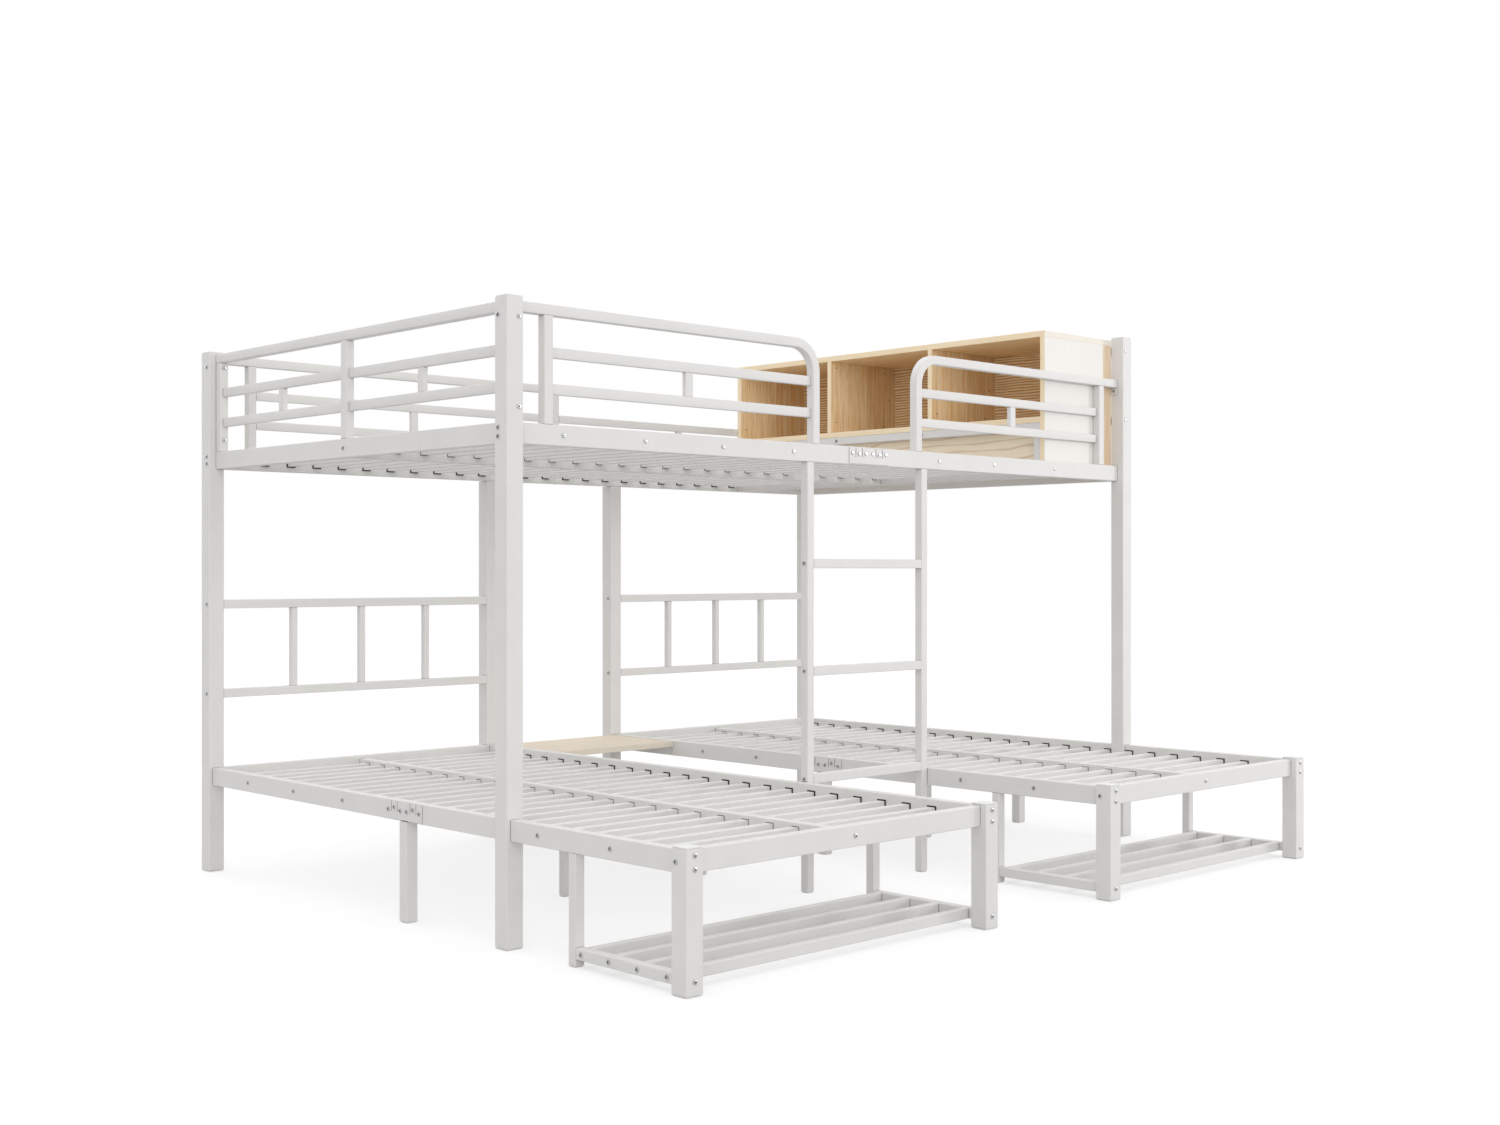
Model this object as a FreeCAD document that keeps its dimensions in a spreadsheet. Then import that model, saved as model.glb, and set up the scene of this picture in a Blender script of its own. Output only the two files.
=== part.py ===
"""Triple bunk bed: one wide upper bed with a bookcase, over two narrow beds set across it.

Millimetres, +Z up. The origin is on the floor, under the middle of the whole bed.
+X runs along the upper bed towards its bookcase, and +Y runs from the lower feet to the heads.
The frame is square and oblong steel tube, bolted at the posts; the boards are wood laminate.
"""
import FreeCAD, Part
import math
import os
import re

import Sketcher

# Driving sizes, in millimetres, or counts where the name says so
SIZES = {
    # Whole bed
    "upper_length": 2475,
    "upper_width": 1475,
    "lower_length": 2081,
    "lower_width": 1003,
    # Posts and legs, and how far they stand above what they carry
    "post_side": 46,
    "tube_flat": 1.2,
    "guard_flat": 4,
    "left_post_rise": 8,
    "right_post_rise": 9,
    "foot_leg_rise": 6.5,
    "mid_leg_side": 32,
    "centre_leg_side": 20,
    "cap_thick": 3,
    "cap_inset": 1.5,
    "glide_thick": 3,
    "glide_inset": 2,
    # Rails, one oblong tube for both levels
    "rail_thick": 25,
    "rail_height": 49,
    "upper_rail_bottom": 1147.5,
    "lower_rail_bottom": 246.5,
    "foot_rail_inset": 17.5,
    "beam_height": 40,
    # Splice plates over the rail joints
    "splice_length": 160,
    "splice_height": 44,
    "splice_thick": 2,
    "splice_tab_width": 26,
    "splice_tab_height": 26,
    "splice_tab_gap": 82,
    "splice_slit": 2,
    # Slats and their plastic bushes
    "slat_width": 22.5,
    "slat_thick": 13,
    "slat_play": 1.2,
    "bush_wall": 2.75,
    "bush_stand": 1.5,
    "slot_depth": 20,
    "slot_rise": 14,
    # Slat rows: the first slat's middle from its rail or post, and the least room left after the last
    "upper_slat_pitch": 84.9,
    "upper_slat_first": 42,
    "upper_slat_room": 20,
    "lower_slat_pitch": 82.4,
    "head_slat_first": 45,
    "head_slat_room": 16,
    "foot_slat_first": 16.8,
    "foot_slat_room": 60,
    # Guards, with their gaps above the rail
    "guard_tube": 25,
    "guard_height": 277.5,
    "guard_low_gap": 70.5,
    "guard_mid_gap": 60,
    "guard_upright_gap": 76,
    "guard_opening": 395,
    "guard_bar_depth": 15,
    "hoop_radius": 75,
    "spacer_side": 24,
    "spacer_depth": 13,
    "lug_thick": 3,
    "lug_drop": 23,
    # Ladder
    "rung_first": 302,
    "rung_pitch": 287.5,
    "rung_count": 3,
    # Headboards of the lower beds
    "headboard_gap": 198.5,
    "headboard_clear": 230.5,
    "headboard_upright": 19,
    "headboard_pitch": 229.5,
    "headboard_count": 3,
    # Shoe racks under the lower feet
    "rack_leg_side": 25,
    "rack_depth_share": 0.5786,
    "rack_bottom": 18.5,
    "rack_bar_width": 20,
    "rack_bar_front": 25.5,
    "rack_bar_back": 18.6,
    "rack_bar_count": 4,
    # Bookcase on the upper bed
    "bookcase_depth": 357,
    "bookcase_lift": 122.5,
    "bookcase_height": 284,
    "board_thick": 18,
    "back_board_thick": 12,
    "back_board_recess": 12,
    "bay_count": 3,
    "end_bar_drop": 48,
    "end_bar_lift": 13,
    # Table between the lower heads
    "table_depth": 314,
    "table_drop": 2,
    "bracket_leg": 28,
    "bracket_thick": 2.5,
    "bracket_length": 80,
    "bracket_inset": 8,
    # Bolts
    "bolt_head_radius": 5.5,
    "bolt_head_height": 2.5,
    "bolt_pair_gap": 20,
    "foot_pair_gap": 28,
    "foot_bolt_shift": 16,
    "upright_bolt_high": 15,
    "upright_bolt_low": 33,
}

# Places of the bolts along each rail, from its joint to its far post, and on the bookcase bar, from its
# middle
UPPER_BOLT_SHARES = (0.25, 0.463)
UPPER_ODD_BOLT_SHARES = (-0.89, -0.68, 0.715)
REAR_BOLT_SHARES = (0.29, 0.54, 0.79)
WAIST_BOLT_SHARE = 0.74
FOOT_BOLT_SHARES = (0.18, 0.63)
CASE_BOLT_SHARE = 0.262
FOOT_SIDE_BOLT_SHARE = 0.72

# Lines and clear lengths that follow from the driving sizes
LINES = {
    "right_edge": "upper_length / 2",
    "back_line": "lower_length / 2",
    "foot_line": "-lower_length / 2",
    "front_line": "back_line - upper_width",
    "post_face": "right_edge - post_side",
    "head_face": "back_line - post_side",
    "front_face": "front_line + post_side",
    "foot_face": "foot_line + post_side",
    "bay_length": "upper_width - 2 * post_side",
    "foot_reach": "front_line - foot_face",
    "rail_setback": "post_side - rail_thick",
    "lower_inset": "(post_side - rail_thick) / 2",
    "upper_rail_top": "upper_rail_bottom + rail_height",
    "lower_rail_top": "lower_rail_bottom + rail_height",
    "bed_middle": "right_edge - lower_width / 2",
    "inner_edge": "right_edge - lower_width",
    "inner_rail_face": "inner_edge + lower_inset",
    "outer_rail_inside": "right_edge - lower_inset - rail_thick",
    "lower_clear": "lower_width - 2 * (lower_inset + rail_thick)",
    # Slats, slots and the joints between rail lengths, each midway between two slats
    "slot_width": "slat_width + 2 * bush_wall",
    "slot_height": "slat_thick + 2 * bush_wall",
    "beam_slot_width": "slat_width + 2 * slat_play",
    "beam_slot_height": "slat_thick + 2 * slat_play",
    "upper_slat_level": "upper_rail_bottom + slot_rise + bush_wall",
    "lower_slat_level": "lower_rail_bottom + slot_rise + bush_wall",
    "case_front": "post_face - bookcase_depth",
    "deck_length": "case_front + post_face",
    "upper_slat_count": "floor((deck_length - upper_slat_first - upper_slat_room) / upper_slat_pitch) + 1",
    "head_slat_count": "floor((bay_length - head_slat_first - head_slat_room) / lower_slat_pitch) + 1",
    "foot_slat_count": "floor((foot_reach - foot_slat_first - foot_slat_room) / lower_slat_pitch) + 1",
    "upper_left_count": "floor((post_face - upper_slat_first) / upper_slat_pitch + 1 / 2)",
    "head_rear_count": "floor((head_face - head_slat_first) / lower_slat_pitch + 1 / 2)",
    "upper_joint": "upper_slat_first + (upper_left_count - 1 / 2) * upper_slat_pitch - post_face",
    "lower_joint": "head_face - head_slat_first - (head_rear_count - 1 / 2) * lower_slat_pitch",
    "head_slat_line": "head_face - head_slat_first",
    "waist_slat_line": "head_slat_line - head_rear_count * lower_slat_pitch",
    "foot_slat_line": "front_line - foot_slat_first",
    # Guards and posts
    "guard_top": "upper_rail_top + guard_height",
    "guard_bar_underside": "guard_top - guard_tube",
    "guard_lower_bar": "upper_rail_top + guard_low_gap",
    "upright_height": "guard_height - guard_tube",
    "upright_place": "post_face - guard_upright_gap - guard_tube",
    "hoop_edge": "guard_opening / 2",
    "hoop_span": "post_face - hoop_edge - guard_tube / 2",
    "front_bar_length": "upright_place - hoop_edge - guard_tube",
    "left_bar_length": "(bay_length - 3 * guard_tube) / 2",
    "back_bar_length": "upright_place - guard_tube / 2",
    "left_post_top": "guard_top + left_post_rise",
    "foot_leg_top": "lower_rail_top + foot_leg_rise",
    # Headboards, racks, bookcase and table
    "headboard_low": "lower_rail_top + headboard_gap",
    "headboard_high": "headboard_low + guard_tube + headboard_clear",
    "rack_depth": "foot_reach * rack_depth_share",
    "rack_bar_pitch": "(rack_depth - rack_bar_front - rack_bar_back) / (rack_bar_count - 1)",
    "bookcase_floor": "upper_rail_top + bookcase_lift",
    "bookcase_top": "bookcase_floor + bookcase_height",
    "bookcase_inside": "bookcase_depth - back_board_thick - back_board_recess",
    "right_post_top": "bookcase_top + right_post_rise",
    "end_bar_high": "bookcase_top - end_bar_drop",
    "end_bar_low": "bookcase_floor + end_bar_lift",
    "case_bay": "(bay_length - (bay_count + 1) * board_thick) / bay_count",
    "table_top": "lower_rail_top - table_drop",
}

document = FreeCAD.newDocument("TripleBunkBed")
sheet = document.addObject("Spreadsheet::Sheet", "Sizes")
for row, (alias, number) in enumerate(SIZES.items(), start=1):
    sheet.set(f"A{row}", alias)
    sheet.set(f"B{row}", str(number))
    sheet.setAlias(f"B{row}", alias)
document.recompute()
for row, (alias, formula) in enumerate(LINES.items(), start=1):
    sheet.set(f"C{row}", alias)
    sheet.set(f"D{row}", "=" + formula)
    sheet.setAlias(f"D{row}", alias)
    document.recompute()

NODES = {}
# The two sets of lower slats: the line of the first slat's middle, and the count towards the foot
SLAT_SETS = (("head_slat_line", "head_slat_count"), ("foot_slat_line", "foot_slat_count"))
AXIS_PLANES = {"X": "YZ_Plane", "Y": "XZ_Plane", "Z": "XY_Plane"}


def size(alias):
    """The value of one named cell."""
    return float(getattr(sheet, alias))


def bind(piece, name, formula):
    """Tie a property to a formula written with the sheet's names."""
    piece.setExpression(name, re.sub(r"\b(?!floor\b)([a-z][a-z_]+)", r"Sizes.\1", formula))


def place(piece, x, y, z):
    """Tie a piece's corner to three formulas."""
    for axis, formula in zip("xyz", (x, y, z)):
        bind(piece, f"Placement.Base.{axis}", formula)


def origin_feature(body, role):
    """One of a body's own origin planes or axes."""
    return next(feature for feature in body.Origin.OriginFeatures if feature.Role == role)


def new_sketch(body, role, offset=None):
    """A sketch on an origin plane of its body, moved along the plane's normal by a formula."""
    sketch = body.newObject("Sketcher::SketchObject", body.Name + "_sketch")
    sketch.AttachmentSupport = [(origin_feature(body, role), "")]
    sketch.MapMode = "FlatFace"
    if offset:
        bind(sketch, "AttachmentOffset.Base.z", offset)
    return sketch


def name_constraint(sketch, constraint, label, formula):
    """Add one dimension to a sketch and tie it to a formula."""
    sketch.renameConstraint(sketch.addConstraint(constraint), label)
    bind(sketch, "Constraints." + label, formula)


def draw_rectangle(sketch, label, wide, tall, left="", low=""):
    """A rectangle of two named sizes, its lower left corner on the sketch origin or off it by formulas."""
    width, height = size(wide), size(tall)
    corners = [FreeCAD.Vector(*point) for point in ((0, 0), (width, 0), (width, height), (0, height))]
    first = sketch.GeometryCount
    for start, end in zip(corners, corners[1:] + corners[:1]):
        sketch.addGeometry(Part.LineSegment(start, end), False)
    for side in range(4):
        sketch.addConstraint(Sketcher.Constraint("Coincident", first + side, 2, first + (side + 1) % 4, 1))
        sketch.addConstraint(Sketcher.Constraint(("Horizontal", "Vertical")[side % 2], first + side))
    across = Sketcher.Constraint("DistanceX", first, 1, first, 2, width)
    name_constraint(sketch, across, label + "_width", wide)
    upward = Sketcher.Constraint("DistanceY", first + 1, 1, first + 1, 2, height)
    name_constraint(sketch, upward, label + "_height", tall)
    for kind, formula, axis in (("DistanceX", left, -2), ("DistanceY", low, -1)):
        if formula:
            offset = Sketcher.Constraint(kind, -1, 1, first, 1, 1)
            name_constraint(sketch, offset, label + "_" + kind, formula)
        else:
            sketch.addConstraint(Sketcher.Constraint("PointOnObject", first, 1, axis))


def plain_section(sketch, wide, tall):
    """An oblong with square corners."""
    draw_rectangle(sketch, "section", wide, tall)


def flat_section(sketch, wide, tall, cut="tube_flat"):
    """An oblong with a small flat across each corner, its sides on the sketch axes."""
    width, height, flat = size(wide), size(tall), size(cut)
    points = ((flat, 0), (width - flat, 0), (width, flat), (width, height - flat),
              (width - flat, height), (flat, height), (0, height - flat), (0, flat))
    corners = [FreeCAD.Vector(*point) for point in points]
    for start, end in zip(corners, corners[1:] + corners[:1]):
        sketch.addGeometry(Part.LineSegment(start, end), False)
    for side in range(8):
        sketch.addConstraint(Sketcher.Constraint("Coincident", side, 2, (side + 1) % 8, 1))
    for side in range(0, 8, 2):
        sketch.addConstraint(Sketcher.Constraint(("Horizontal", "Vertical")[side // 2 % 2], side))
    name_constraint(sketch, Sketcher.Constraint("DistanceX", 6, 1, 2, 1, width), "width", wide)
    name_constraint(sketch, Sketcher.Constraint("DistanceY", 0, 1, 4, 1, height), "height", tall)
    sketch.addConstraint(Sketcher.Constraint("PointOnObject", 0, 1, -1))
    sketch.addConstraint(Sketcher.Constraint("PointOnObject", 6, 1, -2))
    for turn, side in enumerate((1, 3, 5, 7)):
        across = (side, 1, side, 2) if turn in (0, 3) else (side, 2, side, 1)
        upward = (side, 1, side, 2) if turn in (0, 1) else (side, 2, side, 1)
        for kind, ends in (("DistanceX", across), ("DistanceY", upward)):
            name_constraint(sketch, Sketcher.Constraint(kind, *ends, flat), f"{kind}_{turn}", cut)


def new_body(label):
    """An empty body under its own label."""
    body = document.addObject("PartDesign::Body", label)
    body.Label = label
    return body


def soft_section(sketch, wide, tall):
    """Section of a guard's tubes, which have larger flats."""
    flat_section(sketch, wide, tall, "guard_flat")


def bar(label, run, wide, tall, length, x, y, z, section=flat_section):
    """A straight piece along one axis: its section padded to a length, its low corner at x, y, z."""
    body = new_body(label)
    sketch = new_sketch(body, AXIS_PLANES[run])
    section(sketch, wide, tall)
    pad = body.newObject("PartDesign::Pad", label + "_pad")
    pad.Profile = sketch
    pad.Reversed = run == "Y"
    bind(pad, "Length", length)
    place(body, x, y, z)
    document.recompute()
    return body


def repeat(body, axis, pitch, count, axis2=None, pitch2="", count2="", back=False):
    """Repeat a body's last feature along one axis, or along two."""
    pattern = body.newObject("PartDesign::LinearPattern", body.Name + "_row")
    pattern.Originals = [body.Tip]
    pattern.Direction = (origin_feature(body, axis + "_Axis"), [""])
    pattern.Reversed = back
    bind(pattern, "Length", f"({pitch}) * ({count} - 1)")
    bind(pattern, "Occurrences", count)
    if axis2:
        pattern.Direction2 = (origin_feature(body, axis2 + "_Axis"), [""])
        bind(pattern, "Length2", f"({pitch2}) * ({count2} - 1)")
        bind(pattern, "Occurrences2", count2)
    body.Tip = pattern
    document.recompute()
    return body


def cut_slots(body, run, inner, first, pitch, count, back=False):
    """Punch a row of slat slots into a rail's inner face, the first one centred at a formula."""
    offsets = {"+X": "rail_thick", "-X": None, "+Y": "-rail_thick", "-Y": None}
    sketch = new_sketch(body, "YZ_Plane" if run == "Y" else "XZ_Plane", offsets[inner])
    draw_rectangle(sketch, "slot", "slot_width", "slot_height", f"{first} - slot_width / 2", "slot_rise")
    pocket = body.newObject("PartDesign::Pocket", body.Name + "_slot")
    pocket.Profile = sketch
    pocket.Reversed = inner in ("-X", "+Y")
    bind(pocket, "Length", "slot_depth")
    body.Tip = pocket
    document.recompute()
    return repeat(body, run, pitch, count, back=back)


def cut_through_slots(body, run, first, pitch, count, back=False):
    """Punch a row of slots right through a centre beam, a little wider than the slats."""
    sketch = new_sketch(body, "YZ_Plane" if run == "Y" else "XZ_Plane")
    draw_rectangle(sketch, "slot", "beam_slot_width", "beam_slot_height", f"{first} - beam_slot_width / 2",
                   "slot_rise + bush_wall - slat_play")
    pocket = body.newObject("PartDesign::Pocket", body.Name + "_slot")
    pocket.Profile = sketch
    pocket.Type = "ThroughAll"
    pocket.Midplane = True
    body.Tip = pocket
    document.recompute()
    return repeat(body, run, pitch, count, back=back)


def board(label, length, depth, height, x, y, z):
    """A flat board with square edges."""
    box = document.addObject("Part::Box", label)
    box.Label = label
    for name, formula in (("Length", length), ("Width", depth), ("Height", height)):
        bind(box, name, formula)
    place(box, x, y, z)
    return box


def mirrored(label, source):
    """The same piece on the other side of the bed's middle plane."""
    mirror = document.addObject("Part::Mirroring", label)
    mirror.Label = label
    mirror.Source = source
    mirror.Normal = FreeCAD.Vector(1, 0, 0)
    return mirror


def both_sides(label, source):
    """A piece and its mirror image as one group."""
    return group(label, [source, mirrored(label + "_mirrored", source)])


def group(label, pieces):
    """Several separate pieces kept under one label."""
    compound = document.addObject("Part::Compound", label)
    compound.Label = label
    compound.Links = pieces
    return compound


def node(piece, label=None):
    """Keep a piece as one of the bed's named nodes."""
    NODES[label or piece.Label] = piece
    return piece


def pair(left_label, right_label, piece):
    """Keep a left piece and its mirror image as two nodes."""
    node(piece, left_label)
    node(mirrored(right_label, piece))


def cap(label, x, y, top):
    """A square plastic cap on a post, a little smaller than the post."""
    return board(label, "post_side - 2 * cap_inset", "post_side - 2 * cap_inset", "cap_thick",
                 f"{x} + cap_inset", f"{y} + cap_inset", f"{top} - cap_thick")


def make_posts():
    """Four corner posts, two inner back posts, four foot legs, and their caps."""
    corners = (("post_front_left", "-right_edge", "front_line", "left_post_top"),
               ("post_back_left", "-right_edge", "head_face", "left_post_top"),
               ("post_front_right", "post_face", "front_line", "right_post_top"),
               ("post_back_right", "post_face", "head_face", "right_post_top"))
    section = ("post_side", "post_side")
    caps = []
    for label, x, y, top in corners:
        node(bar(label, "Z", *section, f"{top} - cap_thick - glide_thick", x, y, "glide_thick"))
        caps.append(cap(label + "_cap", x, y, top))
    inner = bar("inner_post", "Z", *section, "upper_rail_bottom - glide_thick", "inner_edge", "head_face",
                "glide_thick")
    node(both_sides("inner_posts", inner))
    leg = bar("foot_leg", "Z", *section, "foot_leg_top - cap_thick - glide_thick", "inner_edge", "foot_line",
              "glide_thick")
    node(both_sides("foot_legs", repeat(leg, "X", "lower_width - post_side", "2")))
    for label, x in (("inner_foot_cap", "inner_edge"), ("outer_foot_cap", "post_face")):
        caps.append(both_sides(label + "s", cap(label, x, "foot_line", "foot_leg_top")))
    node(group("post_caps", caps))


def make_upper_frame():
    """The upper bed's rails, flush with the posts' inner faces, its centre beam and its slats."""
    rail = ("rail_thick", "rail_height")
    first, pitch = "upper_slat_first", "upper_slat_pitch"
    right_count = "upper_slat_count - upper_left_count"
    for name, y, inner in (("front", "front_line + rail_setback", "+Y"), ("back", "head_face", "-Y")):
        left = bar(f"upper_{name}_rail_left", "X", *rail, "upper_joint + post_face", "-post_face", y,
                   "upper_rail_bottom")
        node(cut_slots(left, "X", inner, first, pitch, "upper_left_count"))
        right = bar(f"upper_{name}_rail_right", "X", *rail, "post_face - upper_joint", "upper_joint", y,
                    "upper_rail_bottom")
        node(cut_slots(right, "X", inner, "upper_slat_pitch / 2", pitch, right_count))
    for label, x in (("upper_left_rail", "-right_edge + rail_setback"), ("upper_cross_rail", "case_front"),
                     ("upper_right_rail", "post_face")):
        node(bar(label, "Y", *rail, "bay_length", x, "front_face", "upper_rail_bottom"))
    beam = bar("upper_centre_beam", "X", "rail_thick", "beam_height", "deck_length", "-post_face",
               "front_face + bay_length / 2 - rail_thick / 2", "upper_rail_bottom")
    node(cut_through_slots(beam, "X", first, pitch, "upper_slat_count"))
    slat = bar("upper_slats", "Y", "slat_width", "slat_thick", "bay_length + 2 * slot_depth",
               "upper_slat_first - post_face - slat_width / 2", "front_face - slot_depth",
               "upper_slat_level", plain_section)
    node(repeat(slat, "X", pitch, "upper_slat_count"))
    end_bars = [bar(level + "_tube", "Y", "guard_tube", "guard_tube", "bay_length", "post_face",
                    "front_face", level) for level in ("end_bar_high", "end_bar_low")]
    node(group("upper_end_bars", end_bars))


def make_hoop(label):
    """A front guard's top tube: out of the post, round one large bend, and down on to the rail."""
    body = new_body(label)
    section = new_sketch(body, "YZ_Plane")
    soft_section(section, "guard_tube", "guard_tube")
    path = new_sketch(body, "XZ_Plane", "-guard_tube / 2")
    span, radius, middle = size("hoop_span"), size("hoop_radius"), size("guard_tube") / 2
    drop = size("upright_height")
    start, bend = FreeCAD.Vector(0, middle), FreeCAD.Vector(span - radius, middle)
    fall, end = FreeCAD.Vector(span, middle - radius), FreeCAD.Vector(span, -drop)
    turn = Part.Circle(FreeCAD.Vector(bend.x, fall.y), FreeCAD.Vector(0, 0, 1), radius)
    for curve in (Part.LineSegment(start, bend), Part.ArcOfCircle(turn, 0, math.pi / 2),
                  Part.LineSegment(fall, end)):
        path.addGeometry(curve, False)
    for constraint in (("Tangent", 0, 2, 1, 2), ("Tangent", 1, 1, 2, 1), ("Horizontal", 0), ("Vertical", 2),
                       ("PointOnObject", 0, 1, -2)):
        path.addConstraint(Sketcher.Constraint(*constraint))
    name_constraint(path, Sketcher.Constraint("Radius", 1, radius), "bend", "hoop_radius")
    name_constraint(path, Sketcher.Constraint("DistanceX", -1, 1, 2, 1, span), "span", "hoop_span")
    name_constraint(path, Sketcher.Constraint("DistanceY", -1, 1, 0, 1, middle), "middle", "guard_tube / 2")
    name_constraint(path, Sketcher.Constraint("DistanceY", 2, 2, -1, 1, drop), "drop", "upright_height")
    document.recompute()
    pipe = body.newObject("PartDesign::AdditivePipe", label + "_pipe")
    pipe.Profile = section
    pipe.Spine = path
    document.recompute()
    lug = new_sketch(body, "YZ_Plane")
    draw_rectangle(lug, "lug", "guard_tube", "lug_drop", "", "-lug_drop")
    plate = body.newObject("PartDesign::Pad", label + "_lug")
    plate.Profile = lug
    bind(plate, "Length", "lug_thick")
    body.Tip = plate
    place(body, "-post_face", "front_line + rail_setback", "guard_bar_underside")
    document.recompute()
    return body


def make_guards():
    """Top tubes, uprights, bars and spacers of the left, back and two front guards."""
    tube = ("guard_tube", "guard_tube")
    front, back, left = "front_line + rail_setback", "head_face", "-right_edge + rail_setback"
    node(bar("left_guard_top_bar", "Y", *tube, "bay_length", left, "front_face", "guard_bar_underside",
             soft_section))
    node(bar("back_guard_top_bar", "X", *tube, "2 * post_face", "-post_face", back, "guard_bar_underside",
             soft_section))
    pair("front_left_guard_hoop", "front_right_guard_hoop", make_hoop("front_left_guard_hoop"))

    def upright(label, x, y):
        return bar(label, "Z", *tube, "upright_height", x, y, "upper_rail_top")

    left_posts = repeat(upright("left_guard_post", left, "front_face"), "Y",
                        "(bay_length - guard_tube) / 2", "3")
    back_posts = repeat(upright("back_guard_post", "-upright_place - guard_tube", back), "X",
                        "upright_place + guard_tube / 2", "3")
    front_posts = repeat(upright("front_guard_post", "-upright_place - guard_tube", front), "X",
                         "2 * upright_place + guard_tube", "2")
    node(group("guard_uprights", [left_posts, back_posts, front_posts]))

    # Mid bars are thinner than the uprights and flush with their inner faces
    oblong = ("guard_bar_depth", "guard_tube")
    rise = "guard_tube + guard_mid_gap"
    left_line, front_line = f"{left} + guard_tube - guard_bar_depth", "front_face - guard_bar_depth"
    left_bars = bar("left_guard_mid_bars", "Y", *oblong, "left_bar_length", left_line,
                    "front_face + guard_tube", "guard_lower_bar", soft_section)
    node(repeat(left_bars, "Z", rise, "2", "Y", "left_bar_length + guard_tube", "2"))
    back_bars = bar("back_guard_mid_bars", "X", *oblong, "back_bar_length", "-upright_place", back,
                    "guard_lower_bar", soft_section)
    node(repeat(back_bars, "Z", rise, "2", "X", "back_bar_length + guard_tube", "2"))
    front_bars = bar("front_guard_mid_bars", "X", *oblong, "front_bar_length", "-upright_place", front_line,
                     "guard_lower_bar", soft_section)
    front_step = "front_bar_length + 2 * hoop_edge + 2 * guard_tube"
    node(repeat(front_bars, "Z", rise, "2", "X", front_step, "2"))

    def spacer(label, across, along, x, y):
        return bar(label, "Z", across, along, "guard_mid_gap", x, y, "guard_lower_bar + guard_tube",
                   plain_section)

    inset = "(guard_bar_depth - spacer_depth) / 2"
    left_spacers = spacer("left_guard_spacer", "spacer_depth", "spacer_side", f"{left_line} + {inset}",
                          "front_face + guard_tube + (left_bar_length - spacer_side) / 2")
    repeat(left_spacers, "Y", "left_bar_length + guard_tube", "2")
    back_spacers = spacer("back_guard_spacer", "spacer_side", "spacer_depth",
                          "-upright_place + (back_bar_length - spacer_side) / 2", f"{back} + {inset}")
    repeat(back_spacers, "X", "back_bar_length + guard_tube", "2")
    front_spacers = spacer("front_guard_spacer", "spacer_side", "spacer_depth",
                           "-upright_place + (front_bar_length - spacer_side) / 2",
                           f"{front_line} + {inset}")
    repeat(front_spacers, "X", front_step, "2")
    node(group("guard_spacers", [left_spacers, back_spacers, front_spacers]))


def make_ladder():
    """Two stiles against the lower beds' inner rails, up to the upper front rail, and their rungs."""
    tube = ("guard_tube", "guard_tube")
    y = "front_line + rail_setback"
    stile = bar("ladder_stile", "Z", *tube, "upper_rail_bottom - glide_thick",
                "inner_rail_face - guard_tube", y, "glide_thick")
    node(both_sides("ladder_stiles", stile))
    rung = bar("ladder_rungs", "X", *tube, "2 * (inner_rail_face - guard_tube)",
               "guard_tube - inner_rail_face", y, "rung_first - guard_tube / 2")
    node(repeat(rung, "Z", "rung_pitch", "rung_count"))


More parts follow.
